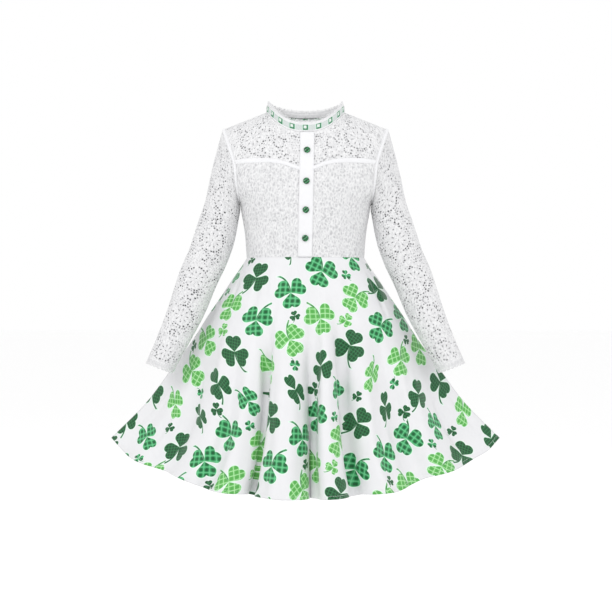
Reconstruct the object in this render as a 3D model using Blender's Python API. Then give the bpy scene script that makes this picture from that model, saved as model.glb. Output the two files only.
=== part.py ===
"""Girl's long-sleeved lace dress with a printed flared skirt, as it hangs when worn.

Metres, +Z up, the front towards -Y. The origin is the middle of the line across the two
shoulder seams, where the dress hangs. Left and right are the wearer's, so left is +X.

Every cloth piece is a thin wall. A piece is first a grid of points in the middle of its
wall, worked out from the tables below, and the wall is then laid to both sides of it.
"""

import math
from typing import NamedTuple

import bmesh
import bpy
import numpy as np
from mathutils import Matrix, Vector

# Cloth and seams
LACE_WALL = 0.0010
LINING_WALL = 0.0010
TRIM_WALL = 0.0010
SKIRT_WALL = 0.0012
SEAM_GAP = 0.0004
LAYER_GAP = 0.0004
CURVE_ALLOWANCE = 0.0002

# Heights below the shoulder line
WAIST = -0.2820
UNDERARM = -0.1800
LINING_TOP_SIDE = -0.1010

# Shoulders and neckline
NECK_HALF_WIDTH = 0.0766
SHOULDER_HALF_WIDTH = 0.1545
SHOULDER_RISE = 0.0290
SHOULDER_SLOPE = 0.398
SHOULDER_ROUNDING = 0.015
SHOULDER_ROLL = 0.050
NECK_SIDE = -0.0020
NECK_FRONT = -0.0450
NECK_BACK = -0.0140
NECKLINE_POWER = 2.5
LINING_TOP_HALF_WIDTH = 0.1325

# Front band, buttons and trims
PLACKET_WIDTH = 0.0270
PLACKET_TOP_OFFSET = 0.0036
PLACKET_WAIST_OFFSET = -0.0010
BUTTON_HEIGHTS = (-0.0815, -0.1403, -0.1936, -0.2466)
BUTTON_RADIUS = 0.00625
BUTTON_CROWN = 0.0035
LINING_EDGE_BELOW = 0.023
LINING_EDGE_ABOVE = 0.030
LINING_EDGE_END = 0.2
BAND_HEIGHT = 0.0150
BAND_LEAN = 0.22
BAND_CLEARANCE = 0.0008
BAND_LIFT = 0.0002
FRILL_HEIGHT = 0.0060
FRILL_WAVES = 42
FRILL_SWING = 0.0008
BINDING_HALF_WIDTH = 0.0030
BINDING_HALF_DEPTH = 0.0019
CUFF_DEPTH = 0.0150
CUFF_SCALLOPS = 20
CUFF_SCALLOP_DEPTH = 0.0016

# Waist seam, where the skirt's top slopes away under the bodice
WAIST_DROP = 0.0007

# Centre-back zip
ZIP_TAPE_HALF_WIDTH = 0.0100
ZIP_BELOW_WAIST = 0.25
ZIP_SLIDER_SIZE = (0.0050, 0.0026, 0.0090)
ZIP_PIN_RADIUS = 0.0006
ZIP_EYE_BORE = 0.00095
ZIP_EYE_RADIUS = 0.0015
ZIP_EYE_WIDTH = 0.0024
ZIP_PIVOT_OUT = 0.0048
ZIP_PIVOT_UP = 0.0018
ZIP_EAR_SINK = 0.0003
ZIP_PULL_LENGTH = 0.0180
ZIP_PULL_WIDTH = 0.0046
ZIP_PULL_WALL = 0.0012
ZIP_PULL_LEAN = math.radians(20)

# Grid counts
HALF_COLUMNS = 12
NECK_COLUMNS = 7
WAIST_ROWS = 5
UNDERARM_ROWS = 4
YOKE_ROWS = 6
SKIRT_COLUMNS = 84
SKIRT_ROWS = (0.0, 0.07, 0.20, 0.36, 0.54, 0.77, 1.0)
BINDING_SIDES = 8
BUTTON_SIDES = 16
CUFF_COLUMNS = 40

STEP = 1e-4
NECK_SHARE = NECK_COLUMNS / HALF_COLUMNS
UP = np.array([0.0, 0.0, 1.0])
MIRROR = np.array([-1.0, 1.0, 1.0])


class TorsoSection(NamedTuple):
    """A level cut through the bodice: half of its width, and its depth before and behind."""

    height: float
    half_width: float
    front: float
    back: float


class SleeveSection(NamedTuple):
    """A cut across the left sleeve: its outer and inner edge points, and its place and
    half depth from front to back."""

    outer_x: float
    outer_z: float
    inner_x: float
    inner_z: float
    middle_y: float
    half_depth: float


class EdgePoint(NamedTuple):
    """A point of a level or slanting edge: its distance from the middle, and its height."""

    half_width: float
    height: float


class Flute(NamedTuple):
    """A fold of the skirt: its place and reach along the hem, how far it stands out
    (in, if negative), and the share of the skirt's length at which it begins."""

    hem_x: float
    reach: float
    stand: float
    begins: float


TORSO = (
    TorsoSection(-0.282, 0.1130, 0.0800, 0.0780),
    TorsoSection(-0.240, 0.1160, 0.0850, 0.0795),
    TorsoSection(-0.200, 0.1222, 0.0900, 0.0830),
    TorsoSection(-0.180, 0.1262, 0.0920, 0.0850),
    TorsoSection(-0.160, 0.1400, 0.0925, 0.0860),
    TorsoSection(-0.130, 0.1560, 0.0895, 0.0855),
    TorsoSection(-0.098, 0.1650, 0.0835, 0.0805),
    TorsoSection(-0.060, 0.1700, 0.0710, 0.0690),
    TorsoSection(-0.033, 0.1740, 0.0620, 0.0600),
    TorsoSection(0.030, 0.1760, 0.0530, 0.0500),
)

# The lining's shaped top edge in front
LINING_TOP = (
    EdgePoint(0.0000, -0.1190),
    EdgePoint(0.0120, -0.1157),
    EdgePoint(0.0250, -0.1110),
    EdgePoint(0.0360, -0.1064),
    EdgePoint(0.0560, -0.1018),
    EdgePoint(0.0800, -0.1000),
    EdgePoint(0.1080, -0.1002),
    EdgePoint(0.1325, -0.1010),
)

SLEEVE = (
    SleeveSection(0.1930, -0.1725, 0.1272, -0.1960, 0.000, 0.0370),
    SleeveSection(0.2118, -0.2285, 0.1378, -0.2530, -0.006, 0.0385),
    SleeveSection(0.2245, -0.2690, 0.1533, -0.2975, -0.014, 0.0370),
    SleeveSection(0.2393, -0.3035, 0.1700, -0.3335, -0.022, 0.0350),
    SleeveSection(0.2582, -0.3655, 0.1930, -0.3905, -0.036, 0.0320),
    SleeveSection(0.2742, -0.4140, 0.2168, -0.4365, -0.048, 0.0285),
    SleeveSection(0.3018, -0.4825, 0.2520, -0.5015, -0.062, 0.0260),
)
SLEEVE_LEAVES = np.array([1.0, 0.0, -0.35])
SLEEVE_BULGE = 0.0018
SLEEVE_CAP_SHARES = (0.30, 0.65)
SLEEVE_RINGS = 9

# The skirt's side edges, drawn out to the sides, and its hem
SIDE_EDGE = (
    EdgePoint(0.1130, -0.282),
    EdgePoint(0.1235, -0.299),
    EdgePoint(0.1400, -0.322),
    EdgePoint(0.1630, -0.357),
    EdgePoint(0.1870, -0.392),
    EdgePoint(0.2160, -0.438),
    EdgePoint(0.2617, -0.500),
    EdgePoint(0.3030, -0.556),
    EdgePoint(0.3745, -0.629),
)

HEM = (
    EdgePoint(0.0000, -0.7255),
    EdgePoint(0.1600, -0.7150),
    EdgePoint(0.2380, -0.6930),
    EdgePoint(0.3060, -0.6740),
    EdgePoint(0.3460, -0.6545),
    EdgePoint(0.3745, -0.6290),
)
SKIRT_DEPTH_FRONT = 0.200
SKIRT_DEPTH_BACK = 0.180
SKIRT_LENS_POWER = 1.7
SKIRT_SPREAD = 0.10
SKIRT_EDGE_GAP = 0.0008
FLUTE_LEAN = 0.6

FRONT_FLUTES = (
    Flute(-0.318, 0.034, 0.007, 0.55),
    Flute(-0.268, 0.036, -0.010, 0.35),
    Flute(-0.212, 0.046, 0.012, 0.30),
    Flute(-0.150, 0.040, 0.018, 0.35),
    Flute(-0.098, 0.026, -0.024, 0.30),
    Flute(-0.046, 0.052, 0.034, 0.26),
    Flute(0.008, 0.026, -0.026, 0.36),
    Flute(0.048, 0.034, 0.030, 0.18),
    Flute(0.094, 0.036, -0.018, 0.26),
    Flute(0.148, 0.044, 0.020, 0.33),
    Flute(0.208, 0.044, -0.012, 0.30),
    Flute(0.262, 0.040, 0.011, 0.35),
    Flute(0.318, 0.034, -0.007, 0.55),
)

BACK_FLUTES = (
    Flute(-0.322, 0.036, 0.007, 0.50),
    Flute(-0.270, 0.036, -0.011, 0.34),
    Flute(-0.214, 0.044, 0.016, 0.30),
    Flute(-0.158, 0.034, -0.017, 0.30),
    Flute(-0.106, 0.040, 0.026, 0.24),
    Flute(-0.056, 0.028, -0.022, 0.30),
    Flute(0.000, 0.050, 0.016, 0.45),
    Flute(0.052, 0.030, -0.020, 0.32),
    Flute(0.101, 0.042, 0.027, 0.22),
    Flute(0.156, 0.036, -0.018, 0.30),
    Flute(0.209, 0.042, 0.015, 0.32),
    Flute(0.266, 0.036, -0.010, 0.36),
    Flute(0.320, 0.036, 0.008, 0.50),
)


def clear_scene():
    """Removes whatever the scene holds."""
    for old in list(bpy.data.objects):
        bpy.data.objects.remove(old, do_unlink=True)


def finish(name, colour, roughness, metallic=0.0):
    """A plain Principled material."""
    material = bpy.data.materials.new(name)
    material.use_nodes = True
    shader = material.node_tree.nodes["Principled BSDF"]
    shader.inputs["Base Color"].default_value = (*colour, 1.0)
    shader.inputs["Roughness"].default_value = roughness
    shader.inputs["Metallic"].default_value = metallic
    return material


def smooth_curve(stations, values):
    """A curve through the stations with no overshoot, as a function of an array."""
    x = np.asarray(stations, float)
    y = np.asarray(values, float)
    if x[0] > x[-1]:
        x, y = x[::-1], y[::-1]
    gap = np.diff(x)
    slope = np.diff(y) / gap
    tangent = np.zeros_like(y)
    tangent[0], tangent[-1] = slope[0], slope[-1]
    before, after = slope[:-1], slope[1:]
    rising = before * after > 0
    heavy_before = gap[:-1] + 2 * gap[1:]
    heavy_after = 2 * gap[:-1] + gap[1:]
    safe_before = np.where(rising, before, 1.0)
    safe_after = np.where(rising, after, 1.0)
    mean = (heavy_before + heavy_after) / (heavy_before / safe_before + heavy_after / safe_after)
    tangent[1:-1] = np.where(rising, mean, 0.0)

    def curve(at):
        at = np.clip(np.asarray(at, float), x[0], x[-1])
        index = np.clip(np.searchsorted(x, at) - 1, 0, len(gap) - 1)
        width = gap[index]
        t = (at - x[index]) / width
        start = (1 + 2 * t) * (1 - t) ** 2 * y[index] + t * (1 - t) ** 2 * width * tangent[index]
        end = t * t * (3 - 2 * t) * y[index + 1] - t * t * (1 - t) * width * tangent[index + 1]
        return start + end

    return curve


def table_curve(table, along, column):
    """A smooth curve of one named column of a table against another."""
    return smooth_curve([getattr(row, along) for row in table], [getattr(row, column) for row in table])


half_width_at = table_curve(TORSO, "height", "half_width")
front_depth_at = table_curve(TORSO, "height", "front")
back_depth_at = table_curve(TORSO, "height", "back")
lining_top_at = table_curve(LINING_TOP, "half_width", "height")
side_edge_at = table_curve(SIDE_EDGE, "height", "half_width")
hem_height_at = table_curve(HEM, "half_width", "height")


def unit(vectors):
    """The vectors at length one."""
    return vectors / np.linalg.norm(vectors, axis=-1, keepdims=True)


def blend(start, end, share):
    """The value that lies a share of the way from start to end."""
    return start + (end - start) * share


def shoulder_height(x):
    """The height of the shoulder seam, carried on over the neck."""
    return SHOULDER_RISE - SHOULDER_SLOPE * np.sqrt(x * x + SHOULDER_ROUNDING**2)


def bodice_y(x, z, behind):
    """The bodice's depth: an oval at each height, rolled over to the shoulder seam."""
    depth = back_depth_at(z) if behind else -front_depth_at(z)
    oval = np.sqrt(np.clip(1.0 - (x / half_width_at(z)) ** 2, 0.0, 1.0))
    below = np.clip(shoulder_height(x) - z, 0.0, SHOULDER_ROLL)
    return depth * oval * np.sqrt(1.0 - (1.0 - below / SHOULDER_ROLL) ** 2)


def neckline_height(x, behind):
    """The neckline, round and deeper in front."""
    lowest = NECK_BACK if behind else NECK_FRONT
    return lowest + (NECK_SIDE - lowest) * np.abs(x / NECK_HALF_WIDTH) ** NECKLINE_POWER


def bodice_surface(column, row, behind):
    """Points of the bodice. column runs from -1 to 1 across, row is 0 at the waist, 1 at
    the underarm, 2 at the lining's top edge and 3 at the neckline and shoulder seam."""
    column, row = np.broadcast_arrays(np.asarray(column, float), np.asarray(row, float))
    side = np.sin(column * math.pi / 2)
    low_z = blend(WAIST, UNDERARM, np.clip(row, 0, 1))
    low_x = half_width_at(low_z) * side
    chest_x = LINING_TOP_HALF_WIDTH * side
    chest_z = np.full_like(chest_x, LINING_TOP_SIDE) if behind else lining_top_at(np.abs(chest_x))
    across = np.abs(column)
    round_neck = NECK_HALF_WIDTH * np.sin(np.clip(across / NECK_SHARE, 0, 1) * math.pi / 2)
    along_shoulder = np.clip((across - NECK_SHARE) / (1 - NECK_SHARE), 0, 1)
    top_x = np.sign(column) * blend(round_neck, SHOULDER_HALF_WIDTH, along_shoulder)
    on_neck = across < NECK_SHARE
    top_z = np.where(on_neck, neckline_height(top_x, behind), shoulder_height(top_x))
    to_chest = 1 - np.cos(np.clip(row - 1, 0, 1) * math.pi / 2)
    to_top = np.cos(np.clip(3 - row, 0, 1) * math.pi / 2)
    x = blend(blend(low_x, chest_x, to_chest), top_x, to_top)
    z = blend(blend(low_z, chest_z, to_chest), top_z, to_top)
    return np.stack([x, bodice_y(x, z, behind), z], axis=-1)


def bodice_grid(columns, rows, behind, offset=0.0):
    """Points moved out by offset, and outward normals, over the columns and rows."""
    column, row = np.meshgrid(columns, rows, indexing="ij")
    across = bodice_surface(np.minimum(column + STEP, 1), row, behind)
    across -= bodice_surface(np.maximum(column - STEP, -1), row, behind)
    upward = bodice_surface(column, np.minimum(row + STEP, 3), behind)
    upward -= bodice_surface(column, np.maximum(row - STEP, 0), behind)
    normals = unit(np.cross(across, upward)) * (-1 if behind else 1)
    points = bodice_surface(column, row, behind) + normals * offset
    points[..., 1] += SEAM_GAP / 2 if behind else -SEAM_GAP / 2
    return points, normals


def bodice_strip(x, z, behind, offset):
    """A strip on the bodice from its own x and z, moved out by offset, with its normals."""
    points = np.stack([x, bodice_y(x, z, behind), z], axis=-1)
    slope_x = (bodice_y(x + STEP, z, behind) - bodice_y(x - STEP, z, behind)) / (2 * STEP)
    slope_z = (bodice_y(x, z + STEP, behind) - bodice_y(x, z - STEP, behind)) / (2 * STEP)
    normals = unit(np.stack([-slope_x, np.ones_like(x), -slope_z], axis=-1)) * (1 if behind else -1)
    points[..., 1] += SEAM_GAP / 2 if behind else -SEAM_GAP / 2
    return points + normals * offset, normals


def bodice_rows(first=0, last=3):
    """The row places of the bodice grid, from one seam to another."""
    rows = np.concatenate([
        np.linspace(0, 1, WAIST_ROWS + 1),
        np.linspace(1, 2, UNDERARM_ROWS + 1)[1:],
        np.linspace(2, 3, YOKE_ROWS + 1)[1:],
    ])
    return rows[(rows >= first) & (rows <= last)]


def grid_normals(points, around):
    """Normals of a grid from its neighbours; around closes the columns into a ring."""
    if around:
        across = np.roll(points, -1, axis=0) - np.roll(points, 1, axis=0)
    else:
        across = np.gradient(points, axis=0)
    return unit(np.cross(across, np.gradient(points, axis=1)))


def new_object(name, vertices, faces, material, sharp=40):
    """A mesh object with smooth shading and sharp rims."""
    mesh = bpy.data.meshes.new(name)
    mesh.from_pydata(vertices.tolist(), [], faces.tolist())
    mesh.materials.append(material)
    mesh.shade_smooth()
    mesh.set_sharp_from_angle(angle=math.radians(sharp))
    mesh.update()
    made = bpy.data.objects.new(name, mesh)
    bpy.context.scene.collection.objects.link(made)
    return made


def split(quads):
    """Two triangles from each four-sided face, always along the same diagonal."""
    return np.concatenate([quads[:, [0, 1, 2]], quads[:, [0, 2, 3]]])


def wall(name, points, normals, thickness, material, around=False):
    """A closed wall of this thickness about a grid of points [column, row]. around joins
    the last column to the first."""
    columns, rows = points.shape[:2]
    count = columns * rows
    layers = [points + normals * thickness / 2, points - normals * thickness / 2]
    vertices = np.concatenate([layer.reshape(-1, 3) for layer in layers])
    index = np.arange(count).reshape(columns, rows)
    if around:
        index = np.vstack([index, index[:1]])
    a, b, c, d = index[:-1, :-1], index[1:, :-1], index[1:, 1:], index[:-1, 1:]
    outer = np.stack([a, b, c, d], axis=-1).reshape(-1, 4)
    p, q, r = (vertices[outer[:, k]] for k in (0, 1, 2))
    facing = np.einsum("ij,ij->i", np.cross(q - p, r - p), normals.reshape(-1, 3)[outer[:, 0]])
    turned = facing.sum() < 0
    rims = [(index[:, 0], False), (index[:, -1], True)]
    if not around:
        rims += [(index[-1, :], False), (index[0, :], True)]
    sides = []
    for rim, reverse in rims:
        quad = np.stack([rim[:-1], rim[:-1] + count, rim[1:] + count, rim[1:]], axis=-1)
        sides.append(quad[:, ::-1] if reverse else quad)
    faces = np.concatenate([split(outer), split(outer)[:, ::-1] + count, split(np.concatenate(sides))])
    return new_object(name, vertices, faces[:, ::-1] if turned else faces, material)


def closed_tube(name, rings, material):
    """A tube that closes on itself, from rings [place along, place round]."""
    along, sides = rings.shape[:2]
    index = np.arange(along * sides).reshape(along, sides)
    index = np.vstack([index, index[:1]])
    index = np.hstack([index, index[:, :1]])
    quads = np.stack([index[:-1, :-1], index[1:, :-1], index[1:, 1:], index[:-1, 1:]], axis=-1)
    faces = split(quads.reshape(-1, 4))
    vertices = rings.reshape(-1, 3)
    p, q, r = (vertices[faces[:, k]] for k in range(3))
    outwards = np.einsum("ij,ij->i", p, np.cross(q, r)).sum() > 0
    return new_object(name, vertices, faces if outwards else faces[:, ::-1], material)


def make_bodice(lace, lining):
    """The lace front and backs, and the lining under them up to its top edge."""
    whole = np.arange(-HALF_COLUMNS, HALF_COLUMNS + 1) / HALF_COLUMNS
    left = whole[HALF_COLUMNS:].copy()
    under = -(LACE_WALL + LINING_WALL) / 2 - LAYER_GAP
    for prefix, material, thickness, offset, last in (
        ("lace", lace, LACE_WALL, 0.0, 3),
        ("lining", lining, LINING_WALL, under, 2),
    ):
        rows = bodice_rows(0, last)
        points, normals = bodice_grid(whole, rows, False, offset)
        wall(f"front_{prefix}", points, normals, thickness, material)
        points, normals = bodice_grid(left, rows, True, offset)
        points[0, :, 0] += SEAM_GAP / 2
        wall(f"back_{prefix}_left", points, normals, thickness, material)
        wall(f"back_{prefix}_right", points * MIRROR, normals * MIRROR, thickness, material)


def placket_middle(z):
    """The front band leans a little off the middle, more so at the neck."""
    share = (z - WAIST) / (NECK_FRONT - WAIST)
    return blend(PLACKET_WAIST_OFFSET, PLACKET_TOP_OFFSET, share)


def make_front_trims(cotton, green):
    """The buttoned front band, its buttons and the lining's bound edge beside it."""
    out = (LACE_WALL + TRIM_WALL) / 2 + LAYER_GAP + CURVE_ALLOWANCE
    heights = bodice_surface(np.zeros(1), bodice_rows(), False)[:, 2]
    across, z = np.meshgrid(np.linspace(-0.5, 0.5, 4), heights, indexing="ij")
    x = placket_middle(z) + across * PLACKET_WIDTH
    points, normals = bodice_strip(x, z, False, out)
    wall("placket", points, normals, TRIM_WALL, cotton)
    on_band = out + TRIM_WALL / 2 + LAYER_GAP
    for number, height in enumerate(BUTTON_HEIGHTS, 1):
        make_button(number, height, on_band, green)
    edge_height = bodice_surface(np.zeros(1), np.array([2.0]), False)[0, 2]
    for name, side in (("left", 1), ("right", -1)):
        clear = side * placket_middle(edge_height) + PLACKET_WIDTH / 2 + 2 * SEAM_GAP
        first = math.asin(clear / LINING_TOP_HALF_WIDTH) * 2 / math.pi
        inner = np.arange(2, HALF_COLUMNS) / HALF_COLUMNS
        columns = side * np.concatenate([[first], inner, [1 - LINING_EDGE_END / HALF_COLUMNS]])
        rows = np.array([2 - LINING_EDGE_BELOW, 2.0, 2 + LINING_EDGE_ABOVE])
        points, normals = bodice_grid(columns, rows, False, out)
        wall(f"lining_edge_{name}", points, normals, TRIM_WALL, cotton)


def make_button(number, height, on_band, material):
    """A round domed button, lying on the front band and facing out."""
    z = np.array([height])
    point, normal = bodice_strip(placket_middle(z), z, False, on_band)
    profile = (
        (0.86 * BUTTON_RADIUS, 0.0),
        (BUTTON_RADIUS, 0.0011),
        (0.93 * BUTTON_RADIUS, 0.0023),
        (0.62 * BUTTON_RADIUS, 0.0032),
    )
    shape = bmesh.new()
    loops = []
    for radius, rise in profile:
        angles = [2 * math.pi * k / BUTTON_SIDES for k in range(BUTTON_SIDES)]
        loops.append([shape.verts.new((radius * math.cos(t), radius * math.sin(t), rise)) for t in angles])
    for low, high in zip(loops, loops[1:]):
        for k in range(BUTTON_SIDES):
            after = (k + 1) % BUTTON_SIDES
            shape.faces.new((low[k], low[after], high[after], high[k]))
    for loop, rise in ((loops[0], 0.0), (loops[-1], BUTTON_CROWN)):
        middle = shape.verts.new((0, 0, rise))
        for k in range(BUTTON_SIDES):
            shape.faces.new((middle, loop[k], loop[(k + 1) % BUTTON_SIDES]))
    bmesh.ops.recalc_face_normals(shape, faces=shape.faces)
    mesh = bpy.data.meshes.new(f"button_{number}")
    shape.to_mesh(mesh)
    shape.free()
    mesh.materials.append(material)
    mesh.shade_smooth()
    button = bpy.data.objects.new(f"button_{number}", mesh)
    button.location = Vector(point[0])
    button.rotation_euler = Vector(normal[0]).to_track_quat("Z", "Y").to_euler()
    bpy.context.scene.collection.objects.link(button)


def neckline_path():
    """Points round the neckline from centre back over the left side and the front to
    centre back, with the directions out of the bodice's edge."""
    neck = np.arange(NECK_COLUMNS + 1) / HALF_COLUMNS
    pieces = [
        (neck[:-1], True),
        (neck[::-1], False),
        (-neck[1:], False),
        (-neck[-2::-1], True),
    ]
    points, normals = [], []
    for columns, behind in pieces:
        found, facing = bodice_grid(columns, np.array([3.0]), behind)
        points.append(found[:, 0])
        normals.append(facing[:, 0])
    points, normals = np.concatenate(points), np.concatenate(normals)
    points[0, 0], points[-1, 0] = SEAM_GAP / 2, -SEAM_GAP / 2
    along = unit(np.gradient(points, axis=0))
    edge_out = unit(np.cross(along, normals))
    return points, along, edge_out


def make_neck(ribbon, frill_cloth):
    """The standing neckband, and the small frill along its top."""
    points, along, edge_out = neckline_path()
    rise = unit(UP * (1 - BAND_LEAN) + edge_out * BAND_LEAN)
    low = points + edge_out * BAND_CLEARANCE + UP * BAND_LIFT
    grid = np.stack([low, low + rise * BAND_HEIGHT / 2, low + rise * BAND_HEIGHT], axis=1)
    outwards = unit(np.cross(rise, along))
    wall("neck_band", grid, np.repeat(outwards[:, None], 3, axis=1), TRIM_WALL, ribbon)
    length = np.concatenate([[0], np.cumsum(np.linalg.norm(np.diff(grid[:, 2], axis=0), axis=1))])
    places = np.linspace(0, length[-1], 2 * FRILL_WAVES + 1)

    def along_band(values):
        return np.stack([np.interp(places, length, values[:, k]) for k in range(3)], axis=1)

    up, out = unit(along_band(rise)), unit(along_band(outwards))
    swing = FRILL_SWING * (-1.0) ** np.arange(len(places))
    base = along_band(grid[:, 2]) + up * SEAM_GAP
    top = base + up * (FRILL_HEIGHT + 0.6 * swing[:, None]) + out * swing[:, None]
    frill = np.stack([base, top], axis=1)
    wall("neck_frill", frill, np.repeat(out[:, None], 2, axis=1), TRIM_WALL, frill_cloth)
    return grid


def armhole_loop():
    """Points round the left armhole from the underarm over the front and the shoulder
    tip down the back, with their directions along, off the cloth, and out of its edge."""
    rows = bodice_rows(1, 3)
    front, front_normals = bodice_grid(np.array([1.0]), rows, False)
    back, back_normals = bodice_grid(np.array([1.0]), rows[-2:0:-1], True)
    points = np.concatenate([front[0], back[0]])
    normals = np.concatenate([front_normals[0], back_normals[0]])
    along = unit(np.roll(points, -1, axis=0) - np.roll(points, 1, axis=0))
    normals = unit(normals - along * np.sum(normals * along, axis=1, keepdims=True))
    edge_out = unit(np.cross(along, normals))
    return points, along, normals, edge_out, len(rows)


def sleeve_curves():
    """Smooth curves of every column of the sleeve table against the distance down it."""
    middles = np.array([
        ((s.outer_x + s.inner_x) / 2, s.middle_y, (s.outer_z + s.inner_z) / 2) for s in SLEEVE
    ])
    distance = np.concatenate([[0], np.cumsum(np.linalg.norm(np.diff(middles, axis=0), axis=1))])
    curves = {name: smooth_curve(distance, [getattr(s, name) for s in SLEEVE]) for name in SLEEVE[0]._fields}
    return curves, distance[-1]


def sleeve_ring(curves, distance, turn):
    """The points round the sleeve at a distance down it: turn is 0 at the inner edge, a
    quarter at the front and a half at the outer edge."""
    outer = np.array([curves["outer_x"](distance), 0.0, curves["outer_z"](distance)])
    inner = np.array([curves["inner_x"](distance), 0.0, curves["inner_z"](distance)])
    middle = (outer + inner) / 2 + np.array([0.0, curves["middle_y"](distance), 0.0])
    across = (outer - inner) / 2
    angle = turn[:, None] * 2 * math.pi
    forward = np.array([0.0, -float(curves["half_depth"](distance)), 0.0])
    return middle - across * np.cos(angle) + forward * np.sin(angle)


def make_sleeves(lace, cotton):
    """Left and right sleeve, the binding round each armhole and the scalloped cuffs."""
    points, along, normals, edge_out, tip = armhole_loop()
    centre = points + edge_out * (BINDING_HALF_WIDTH + SEAM_GAP)
    angle = np.arange(BINDING_SIDES) / BINDING_SIDES * 2 * math.pi
    rings = centre[:, None] + (
        normals[:, None] * (BINDING_HALF_DEPTH * np.cos(angle))[None, :, None]
        + edge_out[:, None] * (BINDING_HALF_WIDTH * np.sin(angle))[None, :, None]
    )
    closed_tube("armhole_binding_left", rings, cotton)
    closed_tube("armhole_binding_right", rings * MIRROR, cotton)

    to_sleeve = unit(SLEEVE_LEAVES - along * (along @ SLEEVE_LEAVES)[:, None])
    off_cloth = np.sum(to_sleeve * normals, axis=1) / BINDING_HALF_DEPTH
    out_of_edge = np.sum(to_sleeve * edge_out, axis=1) / BINDING_HALF_WIDTH
    binding_reach = 1 / np.hypot(off_cloth, out_of_edge)
    first = centre + to_sleeve * (binding_reach + LACE_WALL / 2 + SEAM_GAP)[:, None]
    lengths = np.linalg.norm(np.diff(np.vstack([first, first[:1]]), axis=0), axis=1)
    place = np.concatenate([[0], np.cumsum(lengths)])
    half = place[tip - 1]
    turn = np.where(place < half, 0.5 * place / half, 0.5 + 0.5 * (place - half) / (place[-1] - half))[:-1]
    curves, length = sleeve_curves()
    top = sleeve_ring(curves, 0.0, turn)
    puff = unit(top - top.mean(axis=0))
    sleeve = [first]
    for share in SLEEVE_CAP_SHARES:
        sleeve.append(blend(first, top, share) + puff * SLEEVE_BULGE * math.sin(math.pi * share))
    cuff_start = length - CUFF_DEPTH
    for distance in np.linspace(0, cuff_start - SEAM_GAP, SLEEVE_RINGS):
        sleeve.append(sleeve_ring(curves, distance, turn))
    grid = np.stack(sleeve, axis=1)
    facing = outward_normals(grid)
    wall("sleeve_left", grid, facing, LACE_WALL, lace, around=True)
    wall("sleeve_right", grid * MIRROR, facing * MIRROR, LACE_WALL, lace, around=True)

    even = np.arange(CUFF_COLUMNS) / CUFF_COLUMNS
    low = sleeve_ring(curves, length, even)
    high = sleeve_ring(curves, cuff_start, even)
    scallop = np.cos(2 * math.pi * CUFF_SCALLOPS * even)[:, None] * CUFF_SCALLOP_DEPTH / 2
    cuff = np.stack([high, low + unit(low - high) * (scallop - CUFF_SCALLOP_DEPTH / 2)], axis=1)
    facing = outward_normals(cuff)
    wall("cuff_left", cuff, facing, TRIM_WALL, cotton, around=True)
    wall("cuff_right", cuff * MIRROR, facing * MIRROR, TRIM_WALL, cotton, around=True)


def outward_normals(grid):
    """Normals of a ring-shaped grid, turned away from its middle line."""
    normals = grid_normals(grid, around=True)
    middle = grid.mean(axis=0, keepdims=True)
    inwards = np.sum(normals * (grid - middle)) < 0
    return -normals if inwards else normals


def fluting(hem_x, share, flutes):
    """How far the folds carry the skirt out, by place along the hem and down the skirt."""
    stand = np.zeros_like(hem_x)
    for flute in flutes:
        near = np.clip(np.abs(hem_x - flute.hem_x) / flute.reach, 0, 1)
        grown = np.clip((share - flute.begins) / (1 - flute.begins), 0, 1)
        stand += flute.stand * (0.5 + 0.5 * np.cos(math.pi * near)) * grown * (2 - grown)
    return stand


def skirt_surface(across, share, behind):
    """Points of the skirt. across runs from -1 to 1 between the side edges, share from 0
    at the waist to 1 at the hem: an oval at the waist, a pointed lens at the hem."""
    across, share = np.broadcast_arrays(np.asarray(across, float), np.asarray(share, float))
    spread = (1 + SKIRT_SPREAD) * across - SKIRT_SPREAD * across**3
    hem_x = HEM[-1].half_width * spread
    top = WAIST - WAIST_DROP
    z = blend(top, hem_height_at(np.abs(hem_x)), share)
    edge = side_edge_at(blend(top, HEM[-1].height, share))
    opened = share * share * (3 - 2 * share)
    x = edge * blend(np.sin(across * math.pi / 2), spread, opened)
    lens = 1 - np.abs(spread) ** SKIRT_LENS_POWER
    waist_depth = TORSO[0].back if behind else TORSO[0].front
    depth = blend(waist_depth, SKIRT_DEPTH_BACK if behind else SKIRT_DEPTH_FRONT, share)
    form = blend(np.cos(across * math.pi / 2), lens, opened)
    stand = fluting(hem_x, share, BACK_FLUTES if behind else FRONT_FLUTES)
    lean = np.sign(across) * across**2 * FLUTE_LEAN
    y = depth * form + stand + SEAM_GAP / 2 + SKIRT_EDGE_GAP * share
    return np.stack([x + stand * lean, y if behind else -y, z], axis=-1)


def skirt_grid(columns, rows, behind, offset=0.0):
    """Skirt points moved out by offset, with outward normals."""
    across, share = np.meshgrid(columns, rows, indexing="ij")
    sideways = skirt_surface(np.minimum(across + STEP, 1), share, behind)
    sideways -= skirt_surface(np.maximum(across - STEP, -1), share, behind)
    down = skirt_surface(across, np.minimum(share + STEP, 1), behind)
    down -= skirt_surface(across, np.maximum(share - STEP, 0), behind)
    normals = unit(np.cross(down, sideways)) * (-1 if behind else 1)
    return skirt_surface(across, share, behind) + normals * offset, normals


def make_skirt(print_cloth):
    """The front of the skirt, and its back in two halves with a centre-back seam."""
    columns = np.linspace(-1, 1, SKIRT_COLUMNS + 1)
    rows = np.array(SKIRT_ROWS)
    points, normals = skirt_grid(columns, rows, False)
    wall("skirt_front", points, normals, SKIRT_WALL, print_cloth)
    middle = SKIRT_COLUMNS // 2
    for name, part, side in (("left", columns[middle:], 1), ("right", columns[: middle + 1], -1)):
        points, normals = skirt_grid(part, rows, True)
        seam = 0 if side > 0 else -1
        points[seam, :, 0] += side * SEAM_GAP / 2
        wall(f"skirt_back_{name}", points, normals, SKIRT_WALL, print_cloth)


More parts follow.
